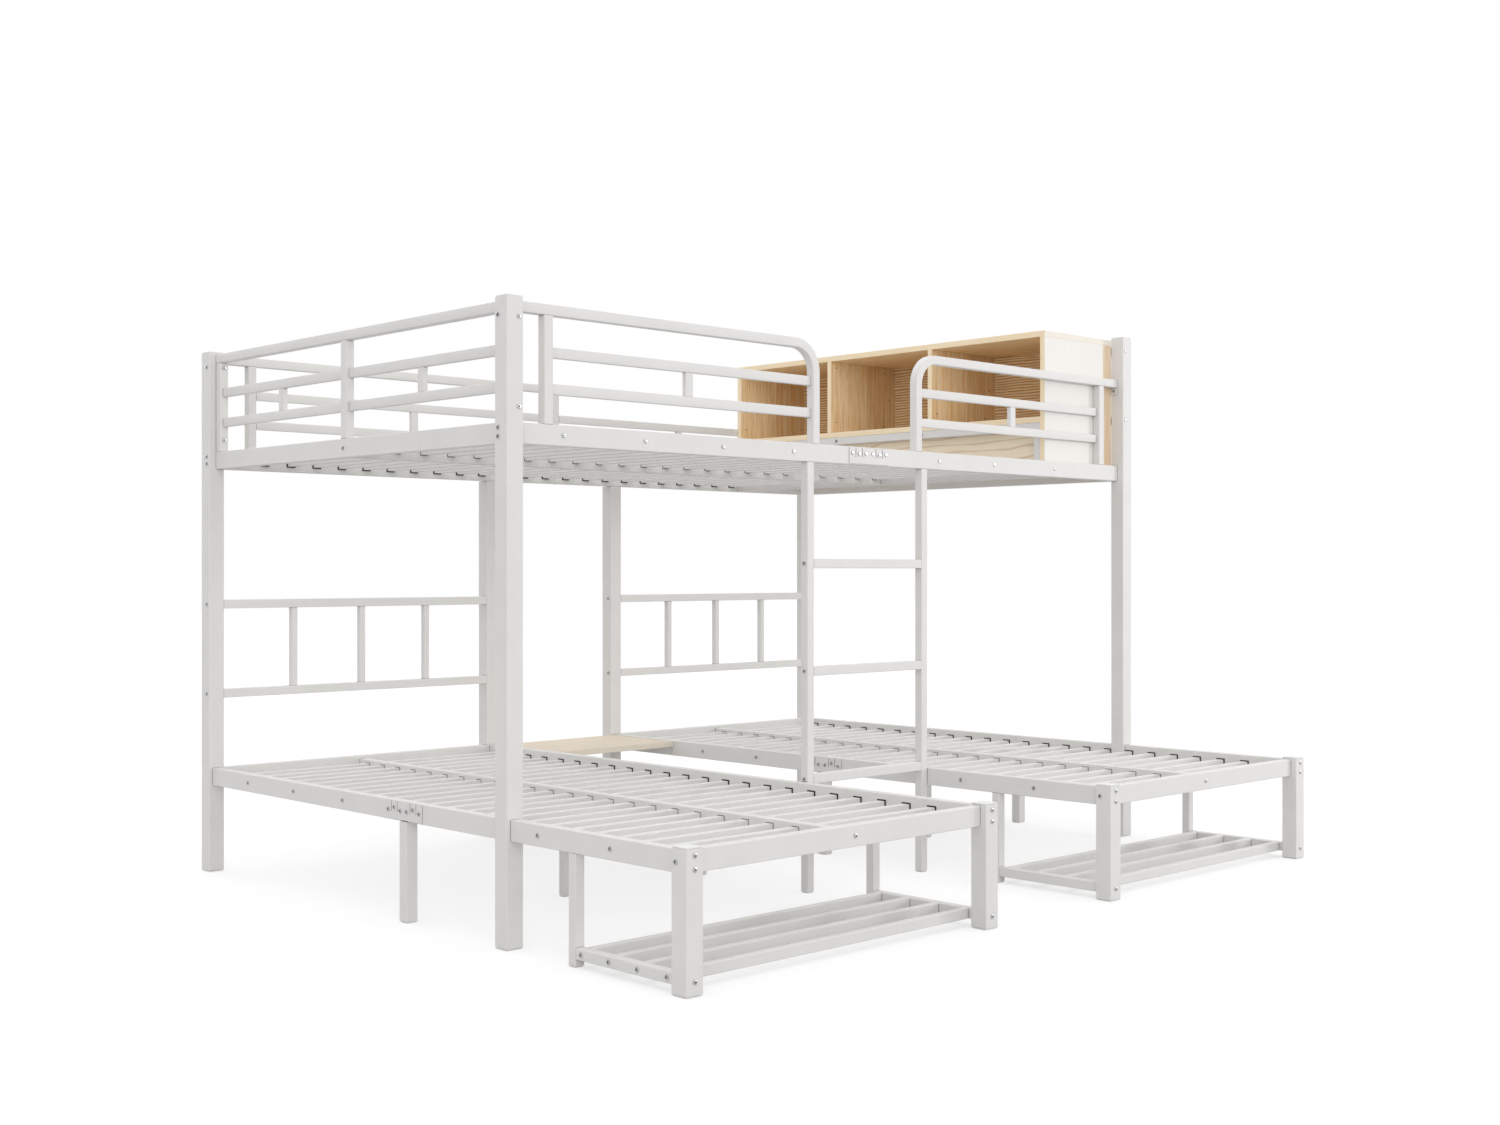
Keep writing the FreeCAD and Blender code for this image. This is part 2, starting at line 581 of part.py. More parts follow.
def make_lower_beds():
    """Side rails in pieces, head and foot rails, centre beams, slats and middle legs of both lower beds.

    The right bed is drawn, and the left bed is its mirror image.
    """
    rail = ("rail_thick", "rail_height")
    level = "lower_rail_bottom"
    outer, inner = "outer_rail_inside", "inner_rail_face"
    waist_count = "head_slat_count - head_rear_count"

    def side_rail(label, x, start, end):
        return bar(label, "Y", *rail, f"{end} - {start}", x, start, level)

    def slots(body, face, line, start, count):
        cut_slots(body, "Y", face, f"{line} - {start}", "lower_slat_pitch", count, back=True)

    rear = []
    for name, x, face in (("inner", inner, "+X"), ("outer", outer, "-X")):
        rear.append(side_rail("rear_rail_" + name, x, "lower_joint", "head_face"))
        slots(rear[-1], face, "head_slat_line", "lower_joint", "head_rear_count")
    pair("right_bed_rear_rails", "left_bed_rear_rails", group("right_bed_rear_rails", rear))
    waist = side_rail("right_bed_outer_front_rail", outer, "front_face", "lower_joint")
    slots(waist, "-X", "waist_slat_line", "front_face", waist_count)
    pair("right_bed_outer_front_rail", "left_bed_outer_front_rail", waist)
    knee = side_rail("right_bed_outer_foot_rail", outer, "foot_face", "front_line")
    slots(knee, "-X", "foot_slat_line", "foot_face", "foot_slat_count")
    pair("right_bed_outer_foot_rail", "left_bed_outer_foot_rail", knee)
    long_rail = side_rail("right_bed_inner_front_rail", inner, "foot_face", "lower_joint")
    slots(long_rail, "+X", "waist_slat_line", "foot_face", waist_count)
    slots(long_rail, "+X", "foot_slat_line", "foot_face", "foot_slat_count")
    pair("right_bed_inner_front_rail", "left_bed_inner_front_rail", long_rail)

    cross = "lower_width - 2 * post_side"
    head = bar("head_rail", "X", *rail, cross, "inner_edge + post_side", "head_face", level)
    node(both_sides("head_rails", head))
    foot = bar("foot_rail", "X", *rail, cross, "inner_edge + post_side", "foot_line + foot_rail_inset",
               level)
    node(both_sides("foot_rails", foot))
    beam_start = "foot_line + foot_rail_inset + rail_thick"
    beam = bar("centre_beam", "Y", "rail_thick", "beam_height", f"head_face - ({beam_start})",
               "bed_middle - rail_thick / 2", beam_start, level)
    for line, count in SLAT_SETS:
        cut_through_slots(beam, "Y", f"{line} - ({beam_start})", "lower_slat_pitch", count, back=True)
    node(both_sides("centre_beams", beam))
    slats = []
    for line, count in SLAT_SETS:
        slat = bar(line.replace("_line", "s"), "X", "slat_width", "slat_thick",
                   "lower_clear + 2 * slot_depth", "inner_rail_face + rail_thick - slot_depth",
                   f"{line} - slat_width / 2", "lower_slat_level", plain_section)
        repeat(slat, "Y", "lower_slat_pitch", count, back=True)
        slats.append(both_sides(slat.Label + "_pair", slat))
    node(group("lower_slats", slats))
    leg = bar("mid_leg", "Z", "mid_leg_side", "mid_leg_side", "lower_rail_bottom - glide_thick",
              "inner_rail_face + (rail_thick - mid_leg_side) / 2", "lower_joint - mid_leg_side / 2",
              "glide_thick")
    repeat(leg, "X", "lower_clear + rail_thick", "2")
    centre = bar("centre_leg", "Z", "centre_leg_side", "centre_leg_side", "lower_rail_bottom - glide_thick",
                 "bed_middle - centre_leg_side / 2", "lower_joint - centre_leg_side / 2", "glide_thick")
    node(group("mid_legs", [both_sides("rail_legs", leg), both_sides("centre_legs", centre)]))


def make_bushes():
    """A plastic sleeve round each slat end, filling its slot and standing a little proud of the rail."""
    def sleeve(label, run, x, y, z):
        body = new_body(label)
        sketch = new_sketch(body, AXIS_PLANES[run])
        draw_rectangle(sketch, "outside", "slot_width", "slot_height")
        draw_rectangle(sketch, "bore", "slat_width", "slat_thick", "bush_wall", "bush_wall")
        pad = body.newObject("PartDesign::Pad", label + "_pad")
        pad.Profile = sketch
        pad.Reversed = run == "Y"
        bind(pad, "Length", "slot_depth + bush_stand")
        place(body, x, y, z)
        document.recompute()
        return body

    upper = sleeve("upper_bushes", "Y", "upper_slat_first - post_face - slot_width / 2",
                   "front_face - slot_depth", "upper_rail_bottom + slot_rise")
    repeat(upper, "X", "upper_slat_pitch", "upper_slat_count", "Y", "bay_length + slot_depth - bush_stand",
           "2")
    bushes = [upper]
    for line, count in SLAT_SETS:
        lower = sleeve(line.replace("_slat_line", "_bushes"), "X",
                       "inner_rail_face + rail_thick - slot_depth", f"{line} - slot_width / 2",
                       "lower_rail_bottom + slot_rise")
        repeat(lower, "Y", "lower_slat_pitch", count, "X", "lower_clear + slot_depth - bush_stand", "2",
               back=True)
        bushes.append(both_sides(lower.Label + "_pair", lower))
    node(group("slat_bushes", bushes))


def make_splices():
    """Flat plates over the joints in the rails, each with two tabs slit free from its top edge."""
    def plate(label, run, x, y, z):
        body = bar(label, run, "splice_thick", "splice_height", "splice_length", x, y, z, plain_section)
        sketch = new_sketch(body, "YZ_Plane" if run == "Y" else "XZ_Plane")
        draw_rectangle(sketch, "slit", "splice_slit", "splice_tab_height",
                       "(splice_length - splice_tab_gap - splice_tab_width - splice_slit) / 2",
                       "splice_height - splice_tab_height")
        pocket = body.newObject("PartDesign::Pocket", label + "_slit")
        pocket.Profile = sketch
        pocket.Type = "ThroughAll"
        pocket.Midplane = True
        body.Tip = pocket
        document.recompute()
        return repeat(body, run, "splice_tab_width", "2", run, "splice_tab_gap", "2")

    lift = "(rail_height - splice_height) / 2"
    high, low = f"upper_rail_bottom + {lift}", f"lower_rail_bottom + {lift}"
    across, along = "upper_joint - splice_length / 2", "lower_joint - splice_length / 2"
    front = plate("front_splice", "X", across, "front_line + rail_setback - splice_thick", high)
    back = plate("back_splice", "X", across, "head_face + rail_thick", high)
    outer = plate("outer_splice", "Y", "right_edge - lower_inset", along, low)
    inner = plate("inner_splice", "Y", "inner_rail_face - splice_thick", along, low)
    sides = [both_sides(plate.Label + "s", plate) for plate in (outer, inner)]
    node(group("splice_plates", [front, back] + sides))


def make_headboards():
    """Two bars and three uprights at the head of each lower bed."""
    bars = bar("headboard_bar", "X", "guard_tube", "guard_tube", "lower_width - 2 * post_side",
               "inner_edge + post_side", "head_face", "headboard_low")
    node(both_sides("headboard_bars", repeat(bars, "Z", "guard_tube + headboard_clear", "2")))
    upright = bar("headboard_upright", "Z", "headboard_upright", "headboard_upright",
                  "headboard_clear",
                  "bed_middle - headboard_pitch * (headboard_count - 1) / 2 - headboard_upright / 2",
                  "head_face + (guard_tube - headboard_upright) / 2", "headboard_low + guard_tube")
    node(both_sides("headboard_uprights", repeat(upright, "X", "headboard_pitch", "headboard_count")))


def make_racks():
    """A low shoe rack under each lower foot: two rear legs, two side bars and four long bars."""
    inner, outer_step = "inner_rail_face", "lower_clear + rail_thick"
    leg = bar("rack_leg", "Z", "rack_leg_side", "rack_leg_side", "lower_rail_bottom - glide_thick",
              inner, "foot_face + rack_depth", "glide_thick")
    node(both_sides("rack_legs", repeat(leg, "X", outer_step, "2")))
    side = bar("rack_side_bar", "Y", "rack_leg_side", "guard_tube", "rack_depth", inner, "foot_face",
               "rack_bottom")
    node(both_sides("rack_side_bars", repeat(side, "X", outer_step, "2")))
    long_bar = bar("rack_long_bar", "X", "rack_bar_width", "guard_tube", f"{outer_step} - rack_leg_side",
                   f"{inner} + rack_leg_side", "foot_face + rack_bar_front - rack_bar_width / 2",
                   "rack_bottom")
    node(both_sides("rack_long_bars", repeat(long_bar, "Y", "rack_bar_pitch", "rack_bar_count")))


def make_bookcase():
    """Open case of three bays between the right posts, on a metal bar and two short legs."""
    inside = "bay_length - 2 * board_thick"
    y = "front_face + board_thick"
    shelf_top = "bookcase_floor + board_thick"
    opening = "bookcase_top - bookcase_floor - 2 * board_thick"
    node(board("bookcase_top", "bookcase_depth", "bay_length", "board_thick", "case_front", "front_face",
               "bookcase_top - board_thick"))
    ends = [board("bookcase_end_" + name, "bookcase_depth", "board_thick",
                  "bookcase_top - board_thick - upper_rail_top", "case_front", place_y, "upper_rail_top")
            for name, place_y in (("front", "front_face"), ("back", "head_face - board_thick"))]
    node(group("bookcase_ends", ends))
    node(board("bookcase_bottom", "bookcase_depth", inside, "board_thick", "case_front", y,
               "bookcase_floor"))
    dividers = [board(f"bookcase_divider_{bay}", "bookcase_inside", "board_thick", opening, "case_front",
                      f"{y} + {bay} * (case_bay + board_thick) - board_thick", shelf_top)
                for bay in range(1, int(size("bay_count")))]
    node(group("bookcase_dividers", dividers))
    node(board("bookcase_back", "back_board_thick", inside, opening, "case_front + bookcase_inside", y,
               shelf_top))
    node(board("bookcase_kickboard", "board_thick", inside, "bookcase_floor - upper_rail_top",
               "case_front + guard_tube", y, "upper_rail_top"))
    node(bar("bookcase_support_bar", "Y", "guard_tube", "guard_tube", inside, "case_front", y,
             "bookcase_floor - guard_tube"))
    leg = bar("bookcase_support_legs", "Z", "guard_tube", "guard_tube",
              "bookcase_floor - guard_tube - upper_rail_top", "case_front", y, "upper_rail_top")
    node(repeat(leg, "Y", f"{inside} - guard_tube", "2"))


def make_table():
    """A small shelf between the lower heads, on two angle brackets along each inner rail."""
    node(board("table_shelf", "2 * inner_rail_face", "table_depth", "board_thick", "-inner_rail_face",
               "head_face - table_depth", "table_top - board_thick"))
    body = new_body("table_bracket")
    sketch = new_sketch(body, "XZ_Plane")
    leg, wall = size("bracket_leg"), size("bracket_thick")
    outline = ((0, 0), (0, -leg), (-wall, -leg), (-wall, -wall), (-leg, -wall), (-leg, 0))
    points = [FreeCAD.Vector(x, y) for x, y in outline]
    for start, end in zip(points, points[1:] + points[:1]):
        sketch.addGeometry(Part.LineSegment(start, end), False)
    for side in range(len(points)):
        sketch.addConstraint(Sketcher.Constraint("Coincident", side, 2, (side + 1) % len(points), 1))
        sketch.addConstraint(Sketcher.Constraint(("Vertical", "Horizontal")[side % 2], side))
    sketch.addConstraint(Sketcher.Constraint("Coincident", 0, 1, -1, 1))
    name_constraint(sketch, Sketcher.Constraint("DistanceY", 0, 2, 0, 1, leg), "drop", "bracket_leg")
    name_constraint(sketch, Sketcher.Constraint("DistanceX", 4, 2, 0, 1, leg), "reach", "bracket_leg")
    name_constraint(sketch, Sketcher.Constraint("DistanceX", 1, 2, 1, 1, wall), "foot", "bracket_thick")
    name_constraint(sketch, Sketcher.Constraint("DistanceY", 4, 1, 4, 2, wall), "ledge", "bracket_thick")
    pad = body.newObject("PartDesign::Pad", "table_bracket_pad")
    pad.Profile = sketch
    pad.Reversed = True
    bind(pad, "Length", "bracket_length")
    place(body, "inner_rail_face", "head_face - table_depth + bracket_inset", "table_top - board_thick")
    document.recompute()
    repeat(body, "Y", "table_depth - 2 * bracket_inset - bracket_length", "2")
    node(both_sides("table_brackets", body))


def make_glides():
    """A plastic glide under every post, leg and stile, a little smaller than the tube that it plugs."""
    legs = [("inner_foot_glide", "post_side", "inner_edge", "foot_line"),
            ("outer_foot_glide", "post_side", "post_face", "foot_line"),
            ("inner_head_glide", "post_side", "inner_edge", "head_face"),
            ("outer_head_glide", "post_side", "post_face", "head_face"),
            ("front_post_glide", "post_side", "post_face", "front_line"),
            ("inner_rack_glide", "rack_leg_side", "inner_rail_face", "foot_face + rack_depth"),
            ("outer_rack_glide", "rack_leg_side", "outer_rail_inside", "foot_face + rack_depth"),
            ("stile_glide", "guard_tube", "inner_rail_face - guard_tube", "front_line + rail_setback")]
    middle = "(rail_thick - mid_leg_side) / 2"
    for label, side, x in (("inner_mid_glide", "mid_leg_side", f"inner_rail_face + {middle}"),
                           ("centre_mid_glide", "centre_leg_side", "bed_middle - centre_leg_side / 2"),
                           ("outer_mid_glide", "mid_leg_side", f"outer_rail_inside + {middle}")):
        legs.append((label, side, x, f"lower_joint - {side} / 2"))
    glides = [board(label, f"{side} - 2 * glide_inset", f"{side} - 2 * glide_inset", "glide_thick",
                    f"{x} + glide_inset", f"{y} + glide_inset", "0") for label, side, x, y in legs]
    node(group("foot_glides", [both_sides(glide.Label + "s", glide) for glide in glides]))


def bolt_places():
    """The seat and outward direction of each bolt head: first the mirrored ones, then the one-sided ones."""
    edge, back, front, foot = size("right_edge"), size("back_line"), size("front_line"), size("foot_line")
    tube, side, thick = size("guard_tube"), size("post_side"), size("rail_thick")
    head, setback, gap = size("head_face"), size("rail_setback"), size("bolt_pair_gap") / 2
    foot_gap = size("foot_pair_gap") / 2
    upper = size("upper_rail_bottom") + size("rail_height") / 2
    lower = size("lower_rail_bottom") + size("rail_height") / 2
    rack = size("rack_bottom") + tube / 2
    rail_inner, rail_outer = size("inner_rail_face"), edge - size("lower_inset")
    front_rail, back_rail = front + setback, head + thick
    places = []
    # Upper rails and guard tubes to the corner posts
    lug = size("guard_bar_underside") - size("lug_drop") / 2
    for y in (front_rail + thick / 2, head + thick / 2):
        places += [((edge, y, z), "+X") for z in (lug, upper - gap, upper + gap)]
    # Along the rails, on both sides of their joints
    for share in UPPER_BOLT_SHARES:
        along = share * size("post_face")
        places += [((along, front_rail, upper), "-Y"), ((along, back_rail, upper), "+Y")]
    spots = [share * head for share in REAR_BOLT_SHARES] + [WAIST_BOLT_SHARE * size("front_face")]
    spots += [front - share * size("foot_reach") for share in FOOT_BOLT_SHARES]
    for y in spots:
        places += [((rail_outer, y, lower), "+X"), ((rail_inner, y, lower), "-X")]
    # Foot legs, foot rails and shoe racks
    for x, outward, middle in ((size("inner_edge"), "-X", size("inner_edge") + side / 2),
                               (edge, "+X", edge - side / 2)):
        places += [((x, foot + FOOT_SIDE_BOLT_SHARE * side, lower), outward)]
        places += [((middle, foot, z), "-Y") for z in (lower - foot_gap, lower + foot_gap, rack)]
    along = size("bed_middle") - size("foot_bolt_shift")
    places += [((along, foot + size("foot_rail_inset"), lower), "-Y")]
    for step in range(int(size("rack_bar_count"))):
        y = size("foot_face") + size("rack_bar_front") + step * size("rack_bar_pitch")
        places += [((rail_outer, y, rack), "+X"), ((rail_inner, y, rack), "-X")]
    # Ladder and headboards
    for step in range(int(size("rung_count"))):
        z = size("rung_first") + step * size("rung_pitch")
        places += [((rail_inner, front_rail + tube / 2, z), "+X")]
    for z in (size("headboard_low") + tube / 2, size("headboard_high") + tube / 2):
        places += [((edge, head + tube / 2, z), "+X"), ((size("inner_edge"), head + tube / 2, z), "-X")]
    # Only at the bookcase end, then only at the other end
    single = []
    for share in UPPER_ODD_BOLT_SHARES:
        along = share * size("post_face")
        single += [((along, front_rail, upper), "-Y"), ((along, back_rail, upper), "+Y")]
    for z in (size("end_bar_high") + tube / 2, size("end_bar_low") + tube / 2):
        x = size("post_face") + tube / 2
        single += [((x, front, z), "-Y"), ((x, back, z), "+Y")]
    middle = front + size("upper_width") / 2
    reach = CASE_BOLT_SHARE * size("upper_width") / 2
    for y in (middle - reach, middle + reach):
        single += [((size("case_front"), y, size("bookcase_floor") - tube / 2), "-X")]
    single += [((-edge + setback, middle, upper), "-X")]
    for z in (size("guard_bar_underside") - size("upright_bolt_high"),
              size("upper_rail_top") + size("upright_bolt_low")):
        x = -edge + setback + tube / 2
        single += [((x, front, z), "-Y"), ((x, head - tube, z), "-Y")]
    return places, single


def make_bolts():
    """Low bolt heads, drawn with six flats, seated on the faces that they hold."""
    radius, height = size("bolt_head_radius"), size("bolt_head_height")
    ring = [FreeCAD.Vector(radius * math.cos(turn * math.pi / 3), radius * math.sin(turn * math.pi / 3))
            for turn in range(6)]
    head = Part.Face(Part.makePolygon(ring + ring[:1])).extrude(FreeCAD.Vector(0, 0, height))
    outwards = {"+X": (1, 0), "-X": (-1, 0), "+Y": (0, 1), "-Y": (0, -1)}
    paired, single = bolt_places()
    seats = [(1, seat) for seat in paired + single] + [(-1, seat) for seat in paired]
    heads = []
    for sign, ((x, y, z), outward) in seats:
        across, along = outwards[outward]
        turn = FreeCAD.Rotation(FreeCAD.Vector(0, 0, 1), FreeCAD.Vector(sign * across, along, 0))
        heads.append(head.transformed(FreeCAD.Placement(FreeCAD.Vector(sign * x, y, z), turn).toMatrix()))
    bolts = document.addObject("Part::Feature", "frame_bolts")
    bolts.Label = "frame_bolts"
    bolts.Shape = Part.makeCompound(heads)
    node(bolts)


def check_all():
    """Stop if any object failed or any node has no valid shape."""
    document.recompute()
    for piece in document.Objects:
        if "Invalid" in piece.State or "Error" in piece.State:
            raise RuntimeError(f"{piece.Label} did not build")
    for label, piece in NODES.items():
        if piece.Shape.isNull() or not piece.Shape.isValid():
            raise RuntimeError(f"{label} has no valid shape")


make_posts()
make_upper_frame()
make_guards()
make_ladder()
make_lower_beds()
make_bushes()
make_splices()
make_headboards()
make_racks()
make_bookcase()
make_table()
make_glides()
make_bolts()
check_all()
os.makedirs("parts", exist_ok=True)
for label, piece in NODES.items():
    piece.Shape.exportStep(f"parts/{label}.step")
print(len(NODES), "nodes,", sum(len(piece.Shape.Solids) for piece in NODES.values()), "solids")
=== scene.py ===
"""Triple bunk bed: the finish of its steel, oak laminate, plastic and bolts, laid out as an add-on.

Metres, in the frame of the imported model: +X towards the bookcase, +Y towards the heads, +Z up.
"""
import math

import bpy
import numpy as np
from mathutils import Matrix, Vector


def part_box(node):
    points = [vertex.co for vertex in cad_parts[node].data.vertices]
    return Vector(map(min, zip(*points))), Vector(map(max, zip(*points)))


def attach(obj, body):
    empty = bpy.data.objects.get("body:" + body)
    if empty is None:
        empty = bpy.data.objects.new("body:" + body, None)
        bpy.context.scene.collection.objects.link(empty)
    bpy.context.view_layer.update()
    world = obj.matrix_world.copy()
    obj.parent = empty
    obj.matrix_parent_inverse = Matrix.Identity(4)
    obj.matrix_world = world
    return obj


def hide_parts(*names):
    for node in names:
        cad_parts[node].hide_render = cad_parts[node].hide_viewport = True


bl_info = {
    "name": "Triple bunk bed",
    "version": (1, 0, 0),
    "blender": (4, 5, 0),
    "location": "3D View > Sidebar > Bunk Bed",
    "description": "Finishes a steel triple bunk bed with an oak bookcase and sets it in a white studio",
    "category": "Add Mesh",
}

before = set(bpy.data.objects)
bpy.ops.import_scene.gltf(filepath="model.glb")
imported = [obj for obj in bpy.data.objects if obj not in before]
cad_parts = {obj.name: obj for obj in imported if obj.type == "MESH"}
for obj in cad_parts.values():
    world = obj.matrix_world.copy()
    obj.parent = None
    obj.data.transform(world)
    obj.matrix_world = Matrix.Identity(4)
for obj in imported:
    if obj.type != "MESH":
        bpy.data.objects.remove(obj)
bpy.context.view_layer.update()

MM = 0.001
UP = np.array((0.0, 0.0, 1.0))
MIRROR = np.array((-1.0, 1.0, 1.0))
# Corners of a small round piece; twice six, so that a hexagon fits it
ROUND_SIDES = 12

# Nodes by finish
STEEL = [
    "post_front_left", "post_back_left", "post_front_right", "post_back_right", "inner_posts", "foot_legs",
    "upper_front_rail_left", "upper_front_rail_right", "upper_back_rail_left", "upper_back_rail_right",
    "upper_left_rail", "upper_cross_rail", "upper_right_rail", "upper_centre_beam", "upper_slats",
    "upper_end_bars", "left_guard_top_bar", "back_guard_top_bar", "guard_uprights", "left_guard_mid_bars",
    "back_guard_mid_bars", "front_guard_mid_bars", "guard_spacers", "ladder_stiles", "ladder_rungs",
    "left_bed_rear_rails", "right_bed_rear_rails", "left_bed_outer_front_rail", "right_bed_outer_front_rail",
    "left_bed_outer_foot_rail", "right_bed_outer_foot_rail", "left_bed_inner_front_rail",
    "right_bed_inner_front_rail", "head_rails", "foot_rails", "centre_beams", "lower_slats", "mid_legs",
    "splice_plates", "headboard_bars", "headboard_uprights", "rack_legs", "rack_side_bars", "rack_long_bars",
    "bookcase_support_bar", "bookcase_support_legs", "table_brackets",
]
# Guard tubes that are drawn again with their true, tighter corners
GUARD_TOPS = ["left_guard_top_bar", "back_guard_top_bar"]
GUARD_SIDES = ["left_guard_mid_bars", "back_guard_mid_bars"]
GUARD_FRONT = "front_guard_mid_bars"
# Boards by the way that their grain runs
OAK_UPRIGHT = ["bookcase_dividers"]
OAK_TOP = ["bookcase_top"]
OAK_ALONG = ["bookcase_bottom"]
OAK_BACK = ["bookcase_back"]
OAK_KICK = ["bookcase_kickboard"]
OAK_ENDS = ["bookcase_ends"]
OAK_ACROSS = ["table_shelf"]


def linear_rgb(code):
    """Linear colour of an sRGB hex code: small values are divided, larger ones follow a power curve."""
    knee, slope, lift, power = 0.04045, 12.92, 0.055, 2.4
    values = np.frombuffer(bytes.fromhex(code), np.uint8) / 255
    curve = ((values + lift) / (1 + lift)) ** power
    return tuple(np.where(values <= knee, values / slope, curve).tolist())


def length_prop(label, text, millimetres):
    """One length that a user may change, given in millimetres and kept in metres."""
    return bpy.props.FloatProperty(name=label, description=text, default=millimetres * MM, min=0.0,
                                   unit="LENGTH", subtype="DISTANCE", precision=4)


def colour_prop(label, text, code):
    """One colour that a user may change, given as an sRGB hex code and kept linear."""
    return bpy.props.FloatVectorProperty(name=label, description=text, default=linear_rgb(code), size=3,
                                         min=0.0, max=1.0, subtype="COLOR")


class BunkBedSizes(bpy.types.PropertyGroup):
    """Sizes of the pieces that are made here."""
    bolt_radius: length_prop("Bolt radius", "Half the width of a bolt head", 5.5)
    bolt_height: length_prop("Bolt height", "How far a bolt head stands off its seat", 2.4)
    hoop_bend: length_prop("Hoop bend", "Radius of a guard hoop's bend, at the middle of its tube", 75.0)
    tube_corner: length_prop("Tube corner", "Radius of a guard tube's corners", 1.8)
    lug_thick: length_prop("Lug thickness", "Thickness of the tab under a hoop's end", 3.0)
    lug_drop: length_prop("Lug drop", "How far the tab hangs below a hoop's end", 23.0)
    lug_corner: length_prop("Lug corner", "Radius of the tab's lower corners", 7.0)
    tube_ease: length_prop("Eased tubes", "Width of the rounding on tube edges and ends", 0.8)
    board_ease: length_prop("Eased boards", "Width of the rounding on board edges", 0.8)
    # The pin discs are black, painted shade where the shelf pin holes are hollow
    pin_radius: length_prop("Pin hole radius", "Half the width of a shelf pin's sleeve", 2.5)
    pin_stand: length_prop("Pin hole lip", "How far a pin's sleeve stands off its board", 0.2)


class BunkBedColours(bpy.types.PropertyGroup):
    """Colours of the finishes."""
    coat: colour_prop("Powder coat", "White coat of the steel tubes", "DFDDDB")
    coat_shade: colour_prop("Powder coat, thin", "White coat where it lies thinner", "D7D5D3")
    # Seam colour: painted shade for seams and inner corners
    coat_seam_shade: colour_prop("Powder coat, seams", "Dust held in seams and inner corners", "5E5C5A")
    oak_pale: colour_prop("Oak, pale", "Early wood between the grain lines", "F6E3C0")
    oak_mid: colour_prop("Oak, grain", "Late wood of the grain lines", "E9C48C")
    oak_pore: colour_prop("Oak, pores", "Fine dark pores along the grain", "B98448")
    oak_edge: colour_prop("Oak, edge band", "Pale band on the boards' front edges", "F3E2C3")
    oak_line: colour_prop("Oak, rings", "Thin dark lines of the growth rings", "A9743C")
    # Grey for the table: a painted sheen, the pale reflection that its top shows at a low angle
    oak_sheen: colour_prop("Oak, limed", "Grey wash over the table", "CCCAC6")
    # Cream: painted highlight on the bookcase ends' outer faces and the top board's end faces, part of the
    # kickboard's painted light, and the pale backing under the bottom board
    oak_cream: colour_prop("Oak, bleached", "Bleached outer face of the bookcase ends", "E8E7E5")
    black_plastic: colour_prop("Black plastic", "Slat bushes", "17181A")
    white_plastic: colour_prop("White plastic", "Post caps and foot glides", "E2E2E1")
    zinc: colour_prop("Zinc", "Plated bolt heads", "DADBDC")
    socket: colour_prop("Bolt socket", "Shaded hollow of a bolt head", "3E3F41")
    floor: colour_prop("Floor", "Studio floor", "B0B0B0")


def corners(node):
    """The lowest and highest corner of a node as two arrays."""
    low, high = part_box(node)
    return np.array(low, float), np.array(high, float)


def rounded_square(half, corner, steps):
    """Anticlockwise outline: each point is its corner's centre plus the corner radius along an angle."""
    starts = np.arange(4) * math.pi / 2
    angles = (starts[:, None] + np.linspace(0, math.pi / 2, steps)).ravel()
    signs = np.sign(np.stack((np.cos(starts + math.pi / 4), np.sin(starts + math.pi / 4)), axis=1))
    centres = np.repeat(signs, steps, axis=0) * (half - corner)
    return centres + corner * np.stack((np.cos(angles), np.sin(angles)), axis=1)


def skin(rings):
    """Points and faces through rings of points: four-sided faces between neighbours, and two flat ends."""
    steps, around = rings.shape[:2]
    index = np.arange(steps * around).reshape(steps, around)
    after = np.roll(index, -1, axis=1)
    sides = np.stack((index[:-1], after[:-1], after[1:], index[1:]), axis=-1).reshape(-1, 4)
    ends = np.stack((index[0, ::-1], index[-1]))
    return rings.reshape(-1, 3), [sides, ends]


def set_at(points, groups, seats, outwards, up):
    """One shape at many seats: its z runs along each outward direction, its y along up, and x across."""
    up = np.broadcast_to(up, outwards.shape)
    axes = np.stack((np.cross(up, outwards), up, outwards), axis=1)
    placed = seats[:, None, :] + np.einsum("pk,skx->spx", points, axes)
    shifts = np.arange(len(seats)) * len(points)
    moved = [(group[None] + shifts[:, None, None]).reshape(-1, group.shape[1]) for group in groups]
    return placed.reshape(-1, 3), moved


def joined(*shapes):
    """Several shapes as one: their points in a row, and each one's faces counted on from there."""
    points, groups, count = [], [], 0
    for shape_points, shape_groups in shapes:
        points.append(shape_points)
        groups += [group + count for group in shape_groups]
        count += len(shape_points)
    return np.concatenate(points), groups


def mirrored(points, groups):
    """The same shape on the other side of the bed: x changes sign, and each face is read backwards."""
    return points * MIRROR, [group[:, ::-1] for group in groups]


def add_piece(name, shape, materials, replaced=(), tints=None, sharp=35):
    """Make one object from points and faces, shade it smooth up to an angle, and ride it on the bed."""
    points, groups = shape
    mesh = bpy.data.meshes.new(name)
    mesh.from_pydata(points.tolist(), [], [face for group in groups for face in group.tolist()])
    for material in materials:
        mesh.materials.append(material)
    if tints is not None:
        mesh.polygons.foreach_set("material_index", tints)
    mesh.polygons.foreach_set("use_smooth", np.ones(len(mesh.polygons), bool))
    mesh.set_sharp_from_angle(angle=math.radians(sharp))
    mesh.update()
    piece = bpy.data.objects.new(name, mesh)
    bpy.context.scene.collection.objects.link(piece)
    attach(piece, "root")
    if replaced:
        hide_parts(*replaced)
    return piece


def add_node(tree, kind, settings=None, values=None, links=None):
    """Add one node: its settings, the values of its sockets, and the links into them."""
    node = tree.nodes.new(kind)
    for name, value in (settings or {}).items():
        setattr(node, name, value)
    for name, value in (values or {}).items():
        node.inputs[name].default_value = value
    for name, source in (links or {}).items():
        tree.links.new(source, node.inputs[name])
    return node


